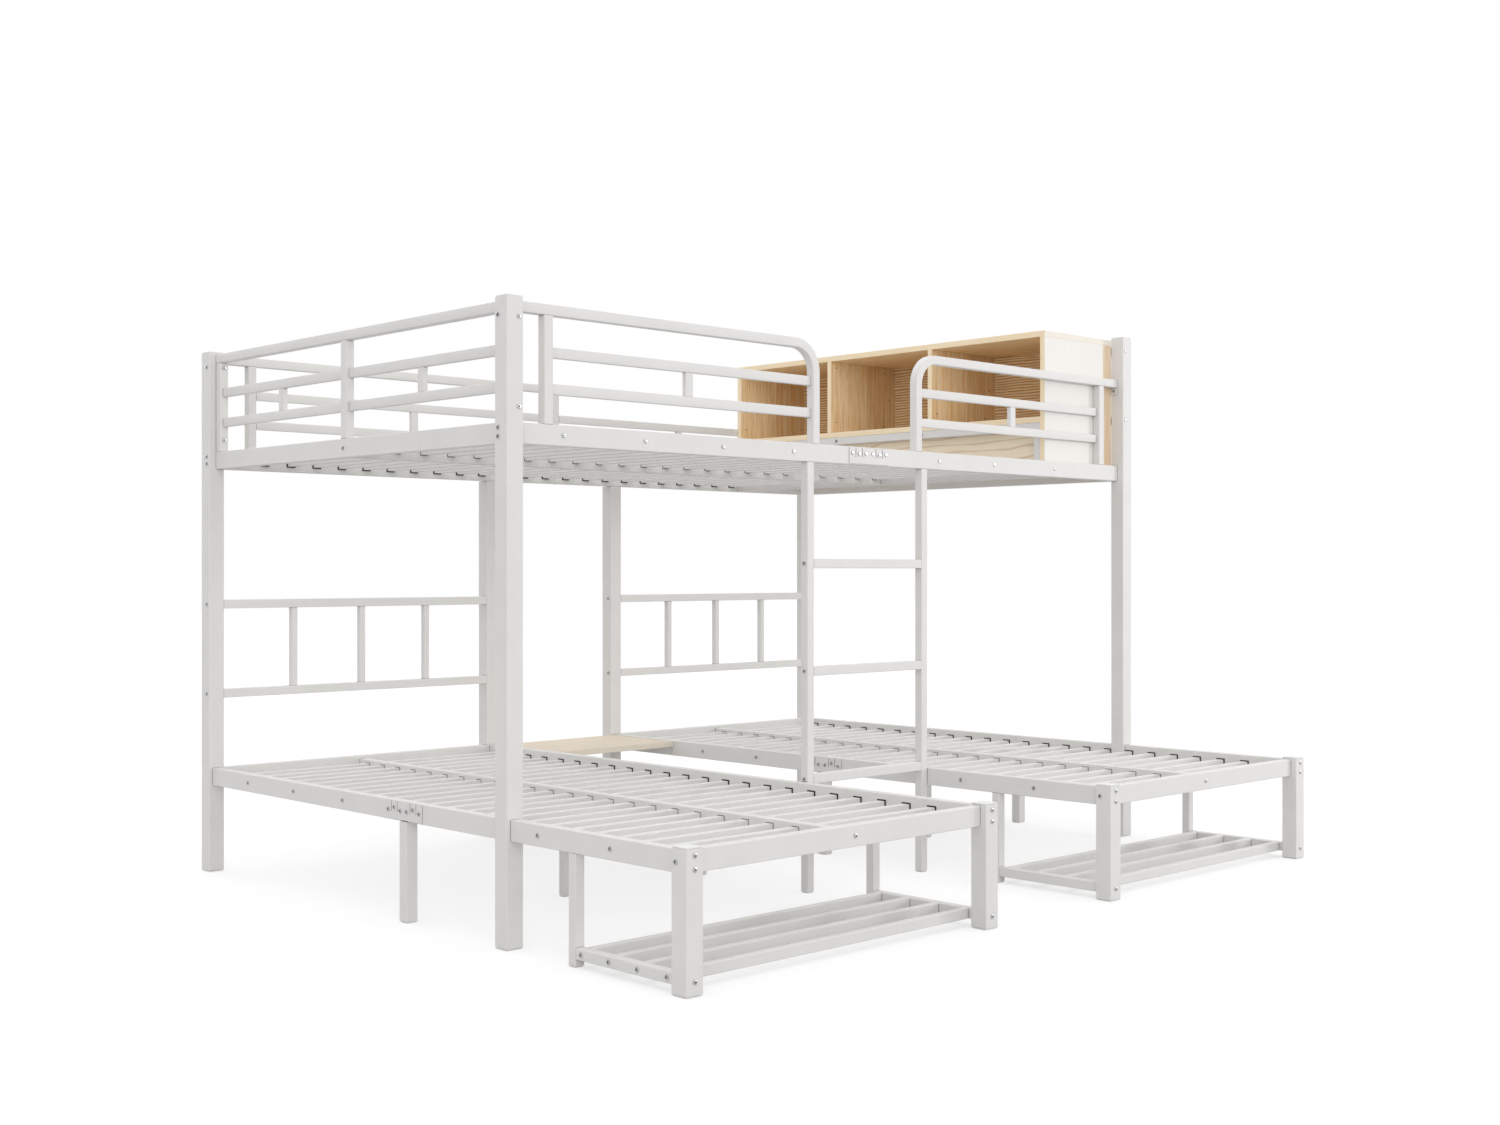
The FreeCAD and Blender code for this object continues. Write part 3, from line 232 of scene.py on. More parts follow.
def new_material(name):
    """An empty material with its shader joined to its output."""
    material = bpy.data.materials.new(name)
    material.use_nodes = True
    tree = material.node_tree
    tree.nodes.clear()
    shader = add_node(tree, "ShaderNodeBsdfPrincipled")
    add_node(tree, "ShaderNodeOutputMaterial", links={"Surface": shader.outputs["BSDF"]})
    return material, tree, shader


def per_metre(millimetres):
    """How often a pattern of this real size repeats in a metre."""
    return 1 / (millimetres * MM)


def opaque(colour):
    """A colour with full cover."""
    return (*colour, 1.0)


def powder_coated_steel(colours):
    """White polyester powder coat, baked on: satin, with a fine orange-peel skin and uneven gloss."""
    cloud_mm, peel_mm = 90, 3
    peel_depth, seam_width = 0.2 * MM, 4 * MM
    material, tree, shader = new_material("white_powder_coated_steel")
    place = add_node(tree, "ShaderNodeTexCoord").outputs["Object"]
    # Cloudy change in the coat's thickness, about a hand wide
    cloud = add_node(tree, "ShaderNodeTexNoise", values={"Scale": per_metre(cloud_mm), "Detail": 3.0},
                     links={"Vector": place})
    # Orange peel is about 1 mm across; it is drawn at 3 mm, or it would not show
    peel = add_node(tree, "ShaderNodeTexNoise", values={"Scale": per_metre(peel_mm), "Detail": 2.0},
                    links={"Vector": place})
    tone = add_node(tree, "ShaderNodeMix", {"data_type": "RGBA"},
                    {6: opaque(colours.coat_shade), 7: opaque(colours.coat)}, {0: cloud.outputs["Fac"]})
    # Painted shade: the coat darkens towards the seam colour in seams and inner corners that are closed in
    # within 4 mm
    corner = add_node(tree, "ShaderNodeAmbientOcclusion", {"samples": 8}, {"Distance": seam_width})
    seam_shade = add_node(tree, "ShaderNodeMapRange", values={"From Min": 0.25, "From Max": 0.8},
                    links={"Value": corner.outputs["AO"]})
    tone = add_node(tree, "ShaderNodeMix", {"data_type": "RGBA"}, {6: opaque(colours.coat_seam_shade)},
                    {0: seam_shade.outputs["Result"], 7: tone.outputs[2]})
    gloss = add_node(tree, "ShaderNodeMapRange", values={"To Min": 0.5, "To Max": 0.62},
                     links={"Value": peel.outputs["Fac"]})
    bump = add_node(tree, "ShaderNodeBump", values={"Strength": 0.12, "Distance": peel_depth},
                    links={"Height": peel.outputs["Fac"]})
    tree.links.new(tone.outputs[2], shader.inputs["Base Color"])
    tree.links.new(gloss.outputs["Result"], shader.inputs["Roughness"])
    tree.links.new(bump.outputs["Normal"], shader.inputs["Normal"])
    shader.inputs["IOR"].default_value = 1.5
    return material


def oak_laminate(name, colours, grain, flame=None, edges="X", highlit_axes="", planks=None, painted_highlight=False,
                 backed=False, plain=0.0, painted_light=None):
    """Printed light-oak laminate on board: long straight or flamed grain, fine pores, pale edge bands.

    grain is the axis that the fibres follow, 0 to 2. A flamed board shows growth rings: the sine of height
    over their spacing, pushed up and down by a cloud, so that lines waver and close into arches; flame is
    that spacing in millimetres, the push, the sine from which a line shows, and how dark lines are. edges
    are the axes that the banded edges look along, and the next argument the axes whose faces are painted
    cream as a painted highlight. planks are the axis across the printed planks, where the first begins and
    their width. A board with the highlight switch set has its outer faces painted pale as a painted
    highlight, with a painted shadow strip at the back edge; a backed one is pale underneath, a plain one
    shows that much less of its grain between the rings, and the last argument is a colour and the share of
    it that is painted over the whole board, as painted light on a shaded board and as a painted sheen on a
    glossy one.
    """
    pore_depth = 0.15 * MM
    material, tree, shader = new_material(name)
    place = add_node(tree, "ShaderNodeTexCoord").outputs["Object"]
    # Width of each pattern in millimetres, and its length along the fibres
    # Pores are 0.2 mm wide; they are drawn 1.4 mm wide, or they would not show
    patterns = {"bands": (7, 260), "pores": (1.4, 60)}
    if flame:
        patterns["clouds"] = (60, 420)
    laid = {}
    for pattern, (across_mm, along_mm) in patterns.items():
        scale = [per_metre(across_mm)] * 3
        scale[grain] = per_metre(along_mm)
        laid[pattern] = add_node(tree, "ShaderNodeMapping", values={"Scale": scale},
                                 links={"Vector": place}).outputs["Vector"]
    growth = add_node(tree, "ShaderNodeTexNoise", values={"Scale": 1.0, "Detail": 3.0, "Distortion": 0.3},
                      links={"Vector": laid["bands"]})
    figure = growth.outputs["Fac"]
    spot = add_node(tree, "ShaderNodeSeparateXYZ", links={0: place})
    if flame:
        spacing, push, onset, depth = flame
        cloud = add_node(tree, "ShaderNodeTexNoise", values={"Scale": 1.0, "Detail": 2.0},
                         links={"Vector": laid["clouds"]})
        pushed = add_node(tree, "ShaderNodeMath", {"operation": "MULTIPLY"}, {1: push},
                          {0: cloud.outputs["Fac"]})
        phase = add_node(tree, "ShaderNodeMath", {"operation": "MULTIPLY_ADD"},
                         {1: 2 * math.pi * per_metre(spacing)},
                         {0: spot.outputs["Z"], 2: pushed.outputs["Value"]})
        line = add_node(tree, "ShaderNodeMath", {"operation": "SINE"}, links={0: phase.outputs["Value"]})
        rings = add_node(tree, "ShaderNodeMapRange", values={"From Min": -0.4, "From Max": 1.0},
                         links={"Value": line.outputs["Value"]})
        ring_share = 0.6
        blend = add_node(tree, "ShaderNodeMix", {"data_type": "FLOAT"}, {0: ring_share},
                         {2: figure, 3: rings.outputs["Result"]})
        figure = blend.outputs[0]
    shape = add_node(tree, "ShaderNodeMapRange", values={"From Min": 0.34, "From Max": 0.7},
                     links={"Value": figure})
    pores = add_node(tree, "ShaderNodeTexNoise", values={"Scale": 1.0, "Detail": 4.0},
                     links={"Vector": laid["pores"]})
    streak = add_node(tree, "ShaderNodeMapRange", values={"From Min": 0.5, "From Max": 0.7, "To Max": 0.6},
                      links={"Value": pores.outputs["Fac"]})
    wood = add_node(tree, "ShaderNodeMix", {"data_type": "RGBA"},
                    {6: opaque(colours.oak_pale), 7: opaque(colours.oak_mid)}, {0: shape.outputs["Result"]})
    colour = add_node(tree, "ShaderNodeMix", {"data_type": "RGBA"}, {7: opaque(colours.oak_pore)},
                      {0: streak.outputs["Result"], 6: wood.outputs[2]})
    # Less grain and more pale oak: on the kickboard partly its own pale print, partly painted light
    if plain:
        colour = add_node(tree, "ShaderNodeMix", {"data_type": "RGBA"},
                          {0: plain, 7: opaque(colours.oak_pale)}, {6: colour.outputs[2]})
    if flame:
        late = add_node(tree, "ShaderNodeMapRange", values={"From Min": onset, "To Max": depth},
                        links={"Value": line.outputs["Value"]})
        colour = add_node(tree, "ShaderNodeMix", {"data_type": "RGBA"}, {7: opaque(colours.oak_line)},
                          {0: late.outputs["Result"], 6: colour.outputs[2]})
    if planks:
        # Every second plank is a tone darker, so that the print shows its seams
        axis, start, width = planks
        red_share, green_share, blue_share = 0.9, 0.8538, 0.81
        count = add_node(tree, "ShaderNodeMath", {"operation": "MULTIPLY_ADD"},
                         {1: 1 / width, 2: -start / width}, {0: spot.outputs[axis]})
        second = add_node(tree, "ShaderNodeMath", {"operation": "PINGPONG"}, {1: 1.0},
                          {0: add_node(tree, "ShaderNodeMath", {"operation": "FLOOR"},
                                       links={0: count.outputs["Value"]}).outputs["Value"]})
        colour = add_node(tree, "ShaderNodeMix", {"data_type": "RGBA", "blend_type": "MULTIPLY"},
                          {7: opaque((red_share, green_share, blue_share))},
                          {0: second.outputs["Value"], 6: colour.outputs[2]})
    # Edge bands hide most of the figure on the faces that look along the edges' axes; faces along the other
    # listed axes are painted cream instead, a painted highlight
    facing = add_node(tree, "ShaderNodeSeparateXYZ",
                      links={0: add_node(tree, "ShaderNodeNewGeometry").outputs["Normal"]})
    bands = [(axis, colours.oak_edge) for axis in edges] + [(axis, colours.oak_cream) for axis in highlit_axes]
    for axis, band in bands:
        turned = add_node(tree, "ShaderNodeMath", {"operation": "ABSOLUTE"}, links={0: facing.outputs[axis]})
        cover = add_node(tree, "ShaderNodeMapRange",
                         values={"From Min": 0.6, "From Max": 0.8, "To Max": 0.75},
                         links={"Value": turned.outputs["Value"]})
        colour = add_node(tree, "ShaderNodeMix", {"data_type": "RGBA"}, {7: opaque(band)},
                          {0: cover.outputs["Result"], 6: colour.outputs[2]})
    if painted_highlight:
        # Painted highlight: only the outermost skin is painted pale, where strong light would blow the oak
        # out, and less so in a strip 46 mm wide at the back edge, a painted shadow of the post beside it
        low, high = corners("bookcase_ends")
        skin_depth, shadow_strip = 0.9 * MM, 46 * MM
        shadow_strip_share, highlight_share = 0.25, 0.93
        inside = (high[1] - low[1]) / 2 - skin_depth
        inner = add_node(tree, "ShaderNodeMath", {"operation": "COMPARE"},
                         {1: (high[1] + low[1]) / 2, 2: inside}, {0: spot.outputs["Y"]})
        ahead = add_node(tree, "ShaderNodeMath", {"operation": "LESS_THAN"}, {1: high[0] - shadow_strip},
                         {0: spot.outputs["X"]})
        share = add_node(tree, "ShaderNodeMapRange", values={"To Min": shadow_strip_share, "To Max": highlight_share},
                         links={"Value": ahead.outputs["Value"]})
        pale = add_node(tree, "ShaderNodeMath", {"operation": "SUBTRACT", "use_clamp": True},
                        links={0: share.outputs["Result"], 1: inner.outputs["Value"]})
        colour = add_node(tree, "ShaderNodeMix", {"data_type": "RGBA"}, {7: opaque(colours.oak_cream)},
                          {0: pale.outputs["Value"], 6: colour.outputs[2]})
    if backed:
        under = add_node(tree, "ShaderNodeMapRange", values={"From Min": -0.6, "From Max": -0.8},
                         links={"Value": facing.outputs["Z"]})
        colour = add_node(tree, "ShaderNodeMix", {"data_type": "RGBA"}, {7: opaque(colours.oak_cream)},
                          {0: under.outputs["Result"], 6: colour.outputs[2]})
    # Painted light laid over the whole board: a grey painted sheen on the table, a cream painted lift on the
    # shaded kickboard
    if painted_light:
        tint, share = painted_light
        colour = add_node(tree, "ShaderNodeMix", {"data_type": "RGBA"}, {0: share, 7: opaque(tint)},
                          {6: colour.outputs[2]})
    gloss = add_node(tree, "ShaderNodeMapRange", values={"To Min": 0.6, "To Max": 0.78},
                     links={"Value": pores.outputs["Fac"]})
    bump = add_node(tree, "ShaderNodeBump", values={"Strength": 0.25, "Distance": pore_depth},
                    links={"Height": pores.outputs["Fac"]})
    tree.links.new(colour.outputs[2], shader.inputs["Base Color"])
    tree.links.new(gloss.outputs["Result"], shader.inputs["Roughness"])
    tree.links.new(bump.outputs["Normal"], shader.inputs["Normal"])
    shader.inputs["IOR"].default_value = 1.5
    return material


def moulded_plastic(name, colour, shade):
    """Moulded polypropylene: waxy and half matt, with the fine grain of a spark-eroded mould."""
    grit_mm, grit_depth = 1.5, 0.1 * MM
    material, tree, shader = new_material(name)
    place = add_node(tree, "ShaderNodeTexCoord").outputs["Object"]
    # Mould grain of 0.3 mm, drawn at 1.5 mm, or it would not show
    grit = add_node(tree, "ShaderNodeTexNoise", values={"Scale": per_metre(grit_mm), "Detail": 3.0},
                    links={"Vector": place})
    tone = add_node(tree, "ShaderNodeMix", {"data_type": "RGBA"},
                    {6: opaque([part * shade for part in colour]), 7: opaque(colour)},
                    {0: grit.outputs["Fac"]})
    gloss = add_node(tree, "ShaderNodeMapRange", values={"To Min": 0.4, "To Max": 0.58},
                     links={"Value": grit.outputs["Fac"]})
    bump = add_node(tree, "ShaderNodeBump", values={"Strength": 0.2, "Distance": grit_depth},
                    links={"Height": grit.outputs["Fac"]})
    tree.links.new(tone.outputs[2], shader.inputs["Base Color"])
    tree.links.new(gloss.outputs["Result"], shader.inputs["Roughness"])
    tree.links.new(bump.outputs["Normal"], shader.inputs["Normal"])
    shader.inputs["IOR"].default_value = 1.49
    return material


def zinc_plated_steel(name, colour, rough):
    """Bright zinc on steel, plated: a metal that is a little clouded in its tone and its gloss."""
    cloud_mm, dull, rough_spread = 2, 0.82, 0.15
    material, tree, shader = new_material(name)
    place = add_node(tree, "ShaderNodeTexCoord").outputs["Object"]
    # Clouding of the plating, about 2 mm across
    cloud = add_node(tree, "ShaderNodeTexNoise", values={"Scale": per_metre(cloud_mm), "Detail": 2.0},
                     links={"Vector": place})
    tone = add_node(tree, "ShaderNodeMix", {"data_type": "RGBA"},
                    {6: opaque([part * dull for part in colour]), 7: opaque(colour)},
                    {0: cloud.outputs["Fac"]})
    gloss = add_node(tree, "ShaderNodeMapRange", values={"To Min": rough, "To Max": rough + rough_spread},
                     links={"Value": cloud.outputs["Fac"]})
    tree.links.new(tone.outputs[2], shader.inputs["Base Color"])
    tree.links.new(gloss.outputs["Result"], shader.inputs["Roughness"])
    shader.inputs["Metallic"].default_value = 1.0
    return material


def paper_sweep(colours):
    """Matt white paper: no gloss, with a trace of cloudiness."""
    cloud_mm, dull = 800, 0.985
    material, tree, shader = new_material("matt_white_paper")
    place = add_node(tree, "ShaderNodeTexCoord").outputs["Object"]
    cloud = add_node(tree, "ShaderNodeTexNoise", values={"Scale": per_metre(cloud_mm)},
                     links={"Vector": place})
    tone = add_node(tree, "ShaderNodeMix", {"data_type": "RGBA"},
                    {6: opaque([part * dull for part in colours.floor]), 7: opaque(colours.floor)},
                    {0: cloud.outputs["Fac"]})
    tree.links.new(tone.outputs[2], shader.inputs["Base Color"])
    shader.inputs["Roughness"].default_value = 0.9
    shader.inputs["Specular IOR Level"].default_value = 0.0
    shader.inputs["Emission Color"].default_value = (1.0, 1.0, 1.0, 1.0)
    # The paper is burnt out to the eye, and throws less than that up at the bed
    eye = add_node(tree, "ShaderNodeMapRange", values={"To Min": FLOOR_BOUNCE, "To Max": FLOOR_GLOW},
                   links={"Value": add_node(tree, "ShaderNodeLightPath").outputs["Is Camera Ray"]})
    tree.links.new(eye.outputs["Result"], shader.inputs["Emission Strength"])
    return material


def coat_node(name, material, ease=0.0):
    """Give a node its finish, and round its edges a little once its loose triangles are joined."""
    join_gap, edge_turn = 0.01 * MM, 30
    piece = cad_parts[name]
    piece.data.materials.clear()
    piece.data.materials.append(material)
    if ease:
        weld = piece.modifiers.new("join", "WELD")
        weld.merge_threshold = join_gap
        round_off = piece.modifiers.new("ease", "BEVEL")
        round_off.width = ease
        round_off.segments = 2
        round_off.limit_method = "ANGLE"
        round_off.angle_limit = math.radians(edge_turn)
        round_off.use_clamp_overlap = True


class BUNK_OT_steel(bpy.types.Operator):
    """Coat the tubes, slats and plates in white"""
    bl_idname = "bunk_bed.steel"
    bl_label = "Coat the steel"

    def execute(self, context):
        coat = powder_coated_steel(context.scene.bunk_colours)
        sizes = context.scene.bunk_sizes
        for name in STEEL:
            coat_node(name, coat, sizes.tube_ease)
        return {"FINISHED"}


def hoop_shape(sizes):
    """The left guard hoop and its tab: a round-cornered square carried along a run, a bend and a drop.

    Each ring lies at a point of the path and is spread along the path's outward normal and along Y.
    """
    bend_steps, corner_steps, tab_steps = 25, 5, 14
    low, high = corners("front_left_guard_hoop")
    tube = high[1] - low[1]
    bend, half = sizes.hoop_bend, tube / 2
    turn = np.linspace(0, math.pi / 2, bend_steps)
    centre = np.array((high[0] - half - bend, high[2] - half - bend))
    angle = np.concatenate(([0.0], turn, [math.pi / 2]))
    line = centre + bend * np.stack((np.sin(angle), np.cos(angle)), axis=1)
    line[0, 0] = low[0]
    line[-1, 1] = low[2]
    outline = rounded_square(half, sizes.tube_corner, corner_steps)
    outward = np.stack((np.sin(angle), np.zeros_like(angle), np.cos(angle)), axis=1)
    middle = np.stack((line[:, 0], np.full(len(line), (low[1] + high[1]) / 2), line[:, 1]), axis=1)
    sideways = np.array((0.0, 1.0, 0.0))
    rings = (middle[:, None] + outline[None, :, 1, None] * outward[:, None]
             + outline[None, :, 0, None] * sideways)
    # The tab: a flat plate on the post, its two lower corners quarter circles
    corner = sizes.lug_corner
    ledge = high[2] - tube
    sweep = np.linspace(math.pi, 2 * math.pi, tab_steps)
    inset = np.repeat((corner - half, half - corner), tab_steps // 2)
    base = ledge - sizes.lug_drop + corner
    arc = np.stack((inset + corner * np.cos(sweep), base + corner * np.sin(sweep)), axis=1)
    top = np.array(((half, ledge + sizes.lug_thick), (-half, ledge + sizes.lug_thick)))
    edge = np.concatenate((arc, top))
    plate = np.stack([np.stack((np.full(len(edge), x), edge[:, 0] + middle[0, 1], edge[:, 1]), axis=1)
                      for x in (low[0], low[0] + sizes.lug_thick)])
    return joined(skin(rings), skin(plate))


class BUNK_OT_hoops(bpy.types.Operator):
    """Bend the two guard hoops beside the ladder"""
    bl_idname = "bunk_bed.hoops"
    bl_label = "Bend the hoops"

    def execute(self, context):
        coat = bpy.data.materials["white_powder_coated_steel"]
        shape = hoop_shape(context.scene.bunk_sizes)
        add_piece("left_hoop", shape, [coat], ["front_left_guard_hoop"])
        add_piece("right_hoop", mirrored(*shape), [coat], ["front_right_guard_hoop"])
        return {"FINISHED"}


def tube_shape(low, high, corner):
    """A straight tube that fills a box: a round-cornered outline at both ends of the longest side."""
    corner_steps = 4
    along = int(np.argmax(high - low))
    across = [(along + 1) % 3, (along + 2) % 3]
    half = (high - low)[across] / 2
    outline = rounded_square(half, corner, corner_steps)
    rings = np.empty((2, len(outline), 3))
    rings[:, :, across] = low[across] + half + outline
    rings[:, :, along] = np.array((low[along], high[along]))[:, None]
    return skin(rings)


def guard_boxes():
    """The box of each guard tube: one to a top bar, and two lengths at two heights in a set of mid bars."""
    boxes = [corners(name) for name in GUARD_TOPS]
    tube = boxes[0][1][2] - boxes[0][0][2]
    hoop_end = corners("front_left_guard_hoop")[1][0] - tube
    for name, gap in [(name, tube) for name in GUARD_SIDES] + [(GUARD_FRONT, -2 * hoop_end)]:
        low, high = corners(name)
        along = int(np.argmax(high - low))
        inner = (low + high)[along] / 2
        for start, end in ((low[along], inner - gap / 2), (inner + gap / 2, high[along])):
            for base in (low[2], high[2] - tube):
                first, last = low.copy(), high.copy()
                first[along], last[along] = start, end
                first[2], last[2] = base, base + tube
                boxes.append((first, last))
    return boxes


class BUNK_OT_guards(bpy.types.Operator):
    """Draw the straight guard tubes with tight corners"""
    bl_idname = "bunk_bed.guards"
    bl_label = "Draw the guards"

    def execute(self, context):
        coat = bpy.data.materials["white_powder_coated_steel"]
        corner = context.scene.bunk_sizes.tube_corner
        shape = joined(*(tube_shape(low, high, corner) for low, high in guard_boxes()))
        add_piece("guard_tubes", shape, [coat], [*GUARD_TOPS, *GUARD_SIDES, GUARD_FRONT])
        return {"FINISHED"}


PLANK_WIDTH = 183 * MM
# Growth rings: spacing in millimetres, push, the sine from which a line shows, and how dark lines are
BACK_FLAME = (9.5, 18, -0.3, 0.6)
KICK_FLAME = (20, 26, 0.75, 0.5)
# The kickboard sits in shade under the bookcase; a share of plain pale oak and a share of cream lift it,
# partly its own pale print and partly painted light
KICK_PLAIN_SHARE = 0.65
KICK_PAINTED_LIGHT_SHARE = 0.3
# The table top gets a share of grey as a painted sheen
TABLE_SHEEN_SHARE = 0.6


class BUNK_OT_boards(bpy.types.Operator):
    """Face the bookcase and the table with oak laminate"""
    bl_idname = "bunk_bed.boards"
    bl_label = "Face the boards"

    def execute(self, context):
        colours = context.scene.bunk_colours
        upright = ("X", corners("bookcase_dividers")[0][0], PLANK_WIDTH)
        finishes = (
            (OAK_UPRIGHT, oak_laminate("oak_laminate_upright", colours, 2, planks=upright)),
            # The top board: its end faces are painted cream, a painted highlight
            (OAK_TOP, oak_laminate("oak_laminate_top", colours, 1, highlit_axes="Y")),
            (OAK_ALONG, oak_laminate("oak_laminate_along", colours, 1, backed=True)),
            (OAK_BACK, oak_laminate("oak_laminate_wavy", colours, 1, flame=BACK_FLAME, edges="")),
            # The kickboard: paler, partly its own print and partly painted light
            (OAK_KICK, oak_laminate("oak_laminate_flamed", colours, 1, flame=KICK_FLAME, edges="",
                                    plain=KICK_PLAIN_SHARE, painted_light=(colours.oak_cream, KICK_PAINTED_LIGHT_SHARE))),
            # The bookcase ends: outer skin painted pale as a painted highlight, with a painted shadow strip
            # at the back edge
            (OAK_ENDS, oak_laminate("oak_laminate_highlit", colours, 2, planks=upright, painted_highlight=True)),
            # The table: a grey painted sheen over its top
            (OAK_ACROSS, oak_laminate("oak_laminate_across", colours, 0, edges="Y",
                                      painted_light=(colours.oak_sheen, TABLE_SHEEN_SHARE))),
        )
        for names, material in finishes:
            for name in names:
                coat_node(name, material, context.scene.bunk_sizes.board_ease)
        return {"FINISHED"}


class BUNK_OT_plastics(bpy.types.Operator):
    """Finish the slat bushes, post caps and foot glides"""
    bl_idname = "bunk_bed.plastics"
    bl_label = "Finish the plastics"

    def execute(self, context):
        colours = context.scene.bunk_colours
        coat_node("slat_bushes", moulded_plastic("black_moulded_plastic", colours.black_plastic, shade=0.7))
        white = moulded_plastic("white_moulded_plastic", colours.white_plastic, shade=0.96)
        for name in ("post_caps", "foot_glides"):
            coat_node(name, white, context.scene.bunk_sizes.tube_ease)
        return {"FINISHED"}


# Places of the bolts along each rail, from its joint to its far post, and on the bookcase bar
UPPER_BOLT_SHARES = (0.25, 0.463)
UPPER_ODD_BOLT_SHARES = (-0.89, -0.68, 0.715)
REAR_BOLT_SHARES = (0.29, 0.54, 0.79)
FOOT_BOLT_SHARES = (0.18, 0.63)
CASE_BOLT_SHARE = 0.262
FOOT_SIDE_BOLT_SHARE = 0.72
BOLT_PAIR_GAP = 20 * MM
FOOT_PAIR_GAP = 28 * MM
FOOT_BOLT_SHIFT = 16 * MM
UPRIGHT_BOLT_HIGH = 15 * MM
UPRIGHT_BOLT_LOW = 33 * MM
LUG_BOLT_DROP = 11.5 * MM
RACK_BAR_HALF = 10 * MM
RACK_BAR_COUNT = 4
RUNG_COUNT = 3
# Bolts of a splice plate, from its middle: along the rail, and above the rail's middle
SPLICE_ALONG = np.array((-68, -41, -14, 14, 41, 68)) * MM
UPPER_SPLICE_RISE = np.array((7, 5, 7, 7, 5, 7)) * MM
LOWER_SPLICE_RISE = np.array((0, 7, 0, 0, 7, 0)) * MM


def bolt_seats(lug_thick):
    """The seat and outward direction of each bolt head, worked out from the pieces that it holds."""
    post_low, post_high = corners("post_front_right")
    head_low, head_high = corners("post_back_right")
    leg_low, leg_high = corners("foot_legs")
    rail_low, rail_high = corners("upper_front_rail_right")
    outer_low, outer_high = corners("right_bed_outer_foot_rail")
    inner_low, inner_high = corners("right_bed_inner_front_rail")
    side_low, side_high = corners("rack_side_bars")
    long_low, long_high = corners("rack_long_bars")
    rung_low, rung_high = corners("ladder_rungs")
    board_low, board_high = corners("headboard_bars")
    guard_low, guard_high = corners("left_guard_top_bar")
    edge, front, head, back, foot = post_high[0], post_low[1], head_low[1], head_high[1], leg_low[1]
    half = (guard_high[2] - guard_low[2]) / 2
    gap = BOLT_PAIR_GAP / 2
    upper = (rail_low[2] + rail_high[2]) / 2
    lower = (outer_low[2] + outer_high[2]) / 2
    rack = (side_low[2] + side_high[2]) / 2
    inner_edge = corners("inner_posts")[1][0] - (edge - post_low[0])
    rail_inner, rail_outer = inner_low[0], outer_high[0]
    back_rail = corners("upper_back_rail_right")[1][1]
    east, west, south, north = (1, 0, 0), (-1, 0, 0), (0, -1, 0), (0, 1, 0)
    pairs = []
    for y in (rail_low[1] + half, head + half):
        pairs += [((edge, y, z), east) for z in (guard_low[2] - LUG_BOLT_DROP, upper - gap, upper + gap)]
    pairs += [((post_low[0] - lug_thick, rail_low[1] + half, guard_low[2] - LUG_BOLT_DROP), west)]
    for share in UPPER_BOLT_SHARES:
        along = share * post_low[0]
        pairs += [((along, rail_low[1], upper), south), ((along, back_rail, upper), north)]
    spots = [share * head for share in REAR_BOLT_SHARES]
    spots += [front - share * (front - leg_high[1]) for share in FOOT_BOLT_SHARES]
    for y in spots:
        pairs += [((rail_outer, y, lower), east), ((rail_inner, y, lower), west)]
    side = (edge - post_low[0]) / 2
    for x, outward, middle in ((inner_edge, west, inner_edge + side), (edge, east, edge - side)):
        pairs += [((x, foot + 2 * side * FOOT_SIDE_BOLT_SHARE, lower), outward)]
        pairs += [((middle, foot, z), south)
                  for z in (lower - FOOT_PAIR_GAP / 2, lower + FOOT_PAIR_GAP / 2, rack)]
    along = (edge + inner_edge) / 2 - FOOT_BOLT_SHIFT
    pairs += [((along, corners("foot_rails")[0][1], lower), south)]
    for y in np.linspace(long_low[1] + RACK_BAR_HALF, long_high[1] - RACK_BAR_HALF, RACK_BAR_COUNT):
        pairs += [((rail_outer, y, rack), east)]
    pairs += [((rail_inner, rail_low[1] + half, z), east)
              for z in np.linspace(rung_low[2] + half, rung_high[2] - half, RUNG_COUNT)]
    for z in (board_low[2] + half, board_high[2] - half):
        pairs += [((edge, head + half, z), east), ((inner_edge, head + half, z), west)]
    singles = []
    for share in UPPER_ODD_BOLT_SHARES:
        along = share * post_low[0]
        singles += [((along, rail_low[1], upper), south), ((along, back_rail, upper), north)]
    bar_low, bar_high = corners("upper_end_bars")
    for z in (bar_low[2] + half, bar_high[2] - half):
        singles += [((bar_low[0] + half, front, z), south), ((bar_low[0] + half, back, z), north)]
    case_low, case_high = corners("bookcase_support_bar")
    middle = (front + back) / 2
    reach = CASE_BOLT_SHARE * (back - front) / 2
    for y in (middle - reach, middle + reach):
        singles += [((case_low[0], y, (case_low[2] + case_high[2]) / 2), west)]
    singles += [((corners("upper_left_rail")[0][0], middle, upper), west)]
    for z in (guard_low[2] - UPRIGHT_BOLT_HIGH, rail_high[2] + UPRIGHT_BOLT_LOW):
        singles += [((guard_low[0] + half, front, z), south)]
        singles += [((guard_low[0] + half, head - 2 * half, z), south)]
    # Six bolts on each splice plate
    plate_low, plate_high = corners("splice_plates")
    across = corners("upper_front_rail_left")[1][0]
    joint = inner_high[1]
    plate = rail_inner - (plate_high[0] - rail_outer)
    for step, high_rise, low_rise in zip(SPLICE_ALONG, UPPER_SPLICE_RISE, LOWER_SPLICE_RISE):
        singles += [((across + step, plate_low[1], upper + high_rise), south)]
        singles += [((across + step, plate_high[1], upper + high_rise), north)]
        pairs += [((plate_high[0], joint + step, lower + low_rise), east)]
        pairs += [((plate, joint + step, lower + low_rise), west)]
    seats = np.array(pairs + singles, float)
    mirror = np.array(pairs, float) * MIRROR
    seats = np.concatenate((seats, mirror))
    return seats[:, 0], seats[:, 1]


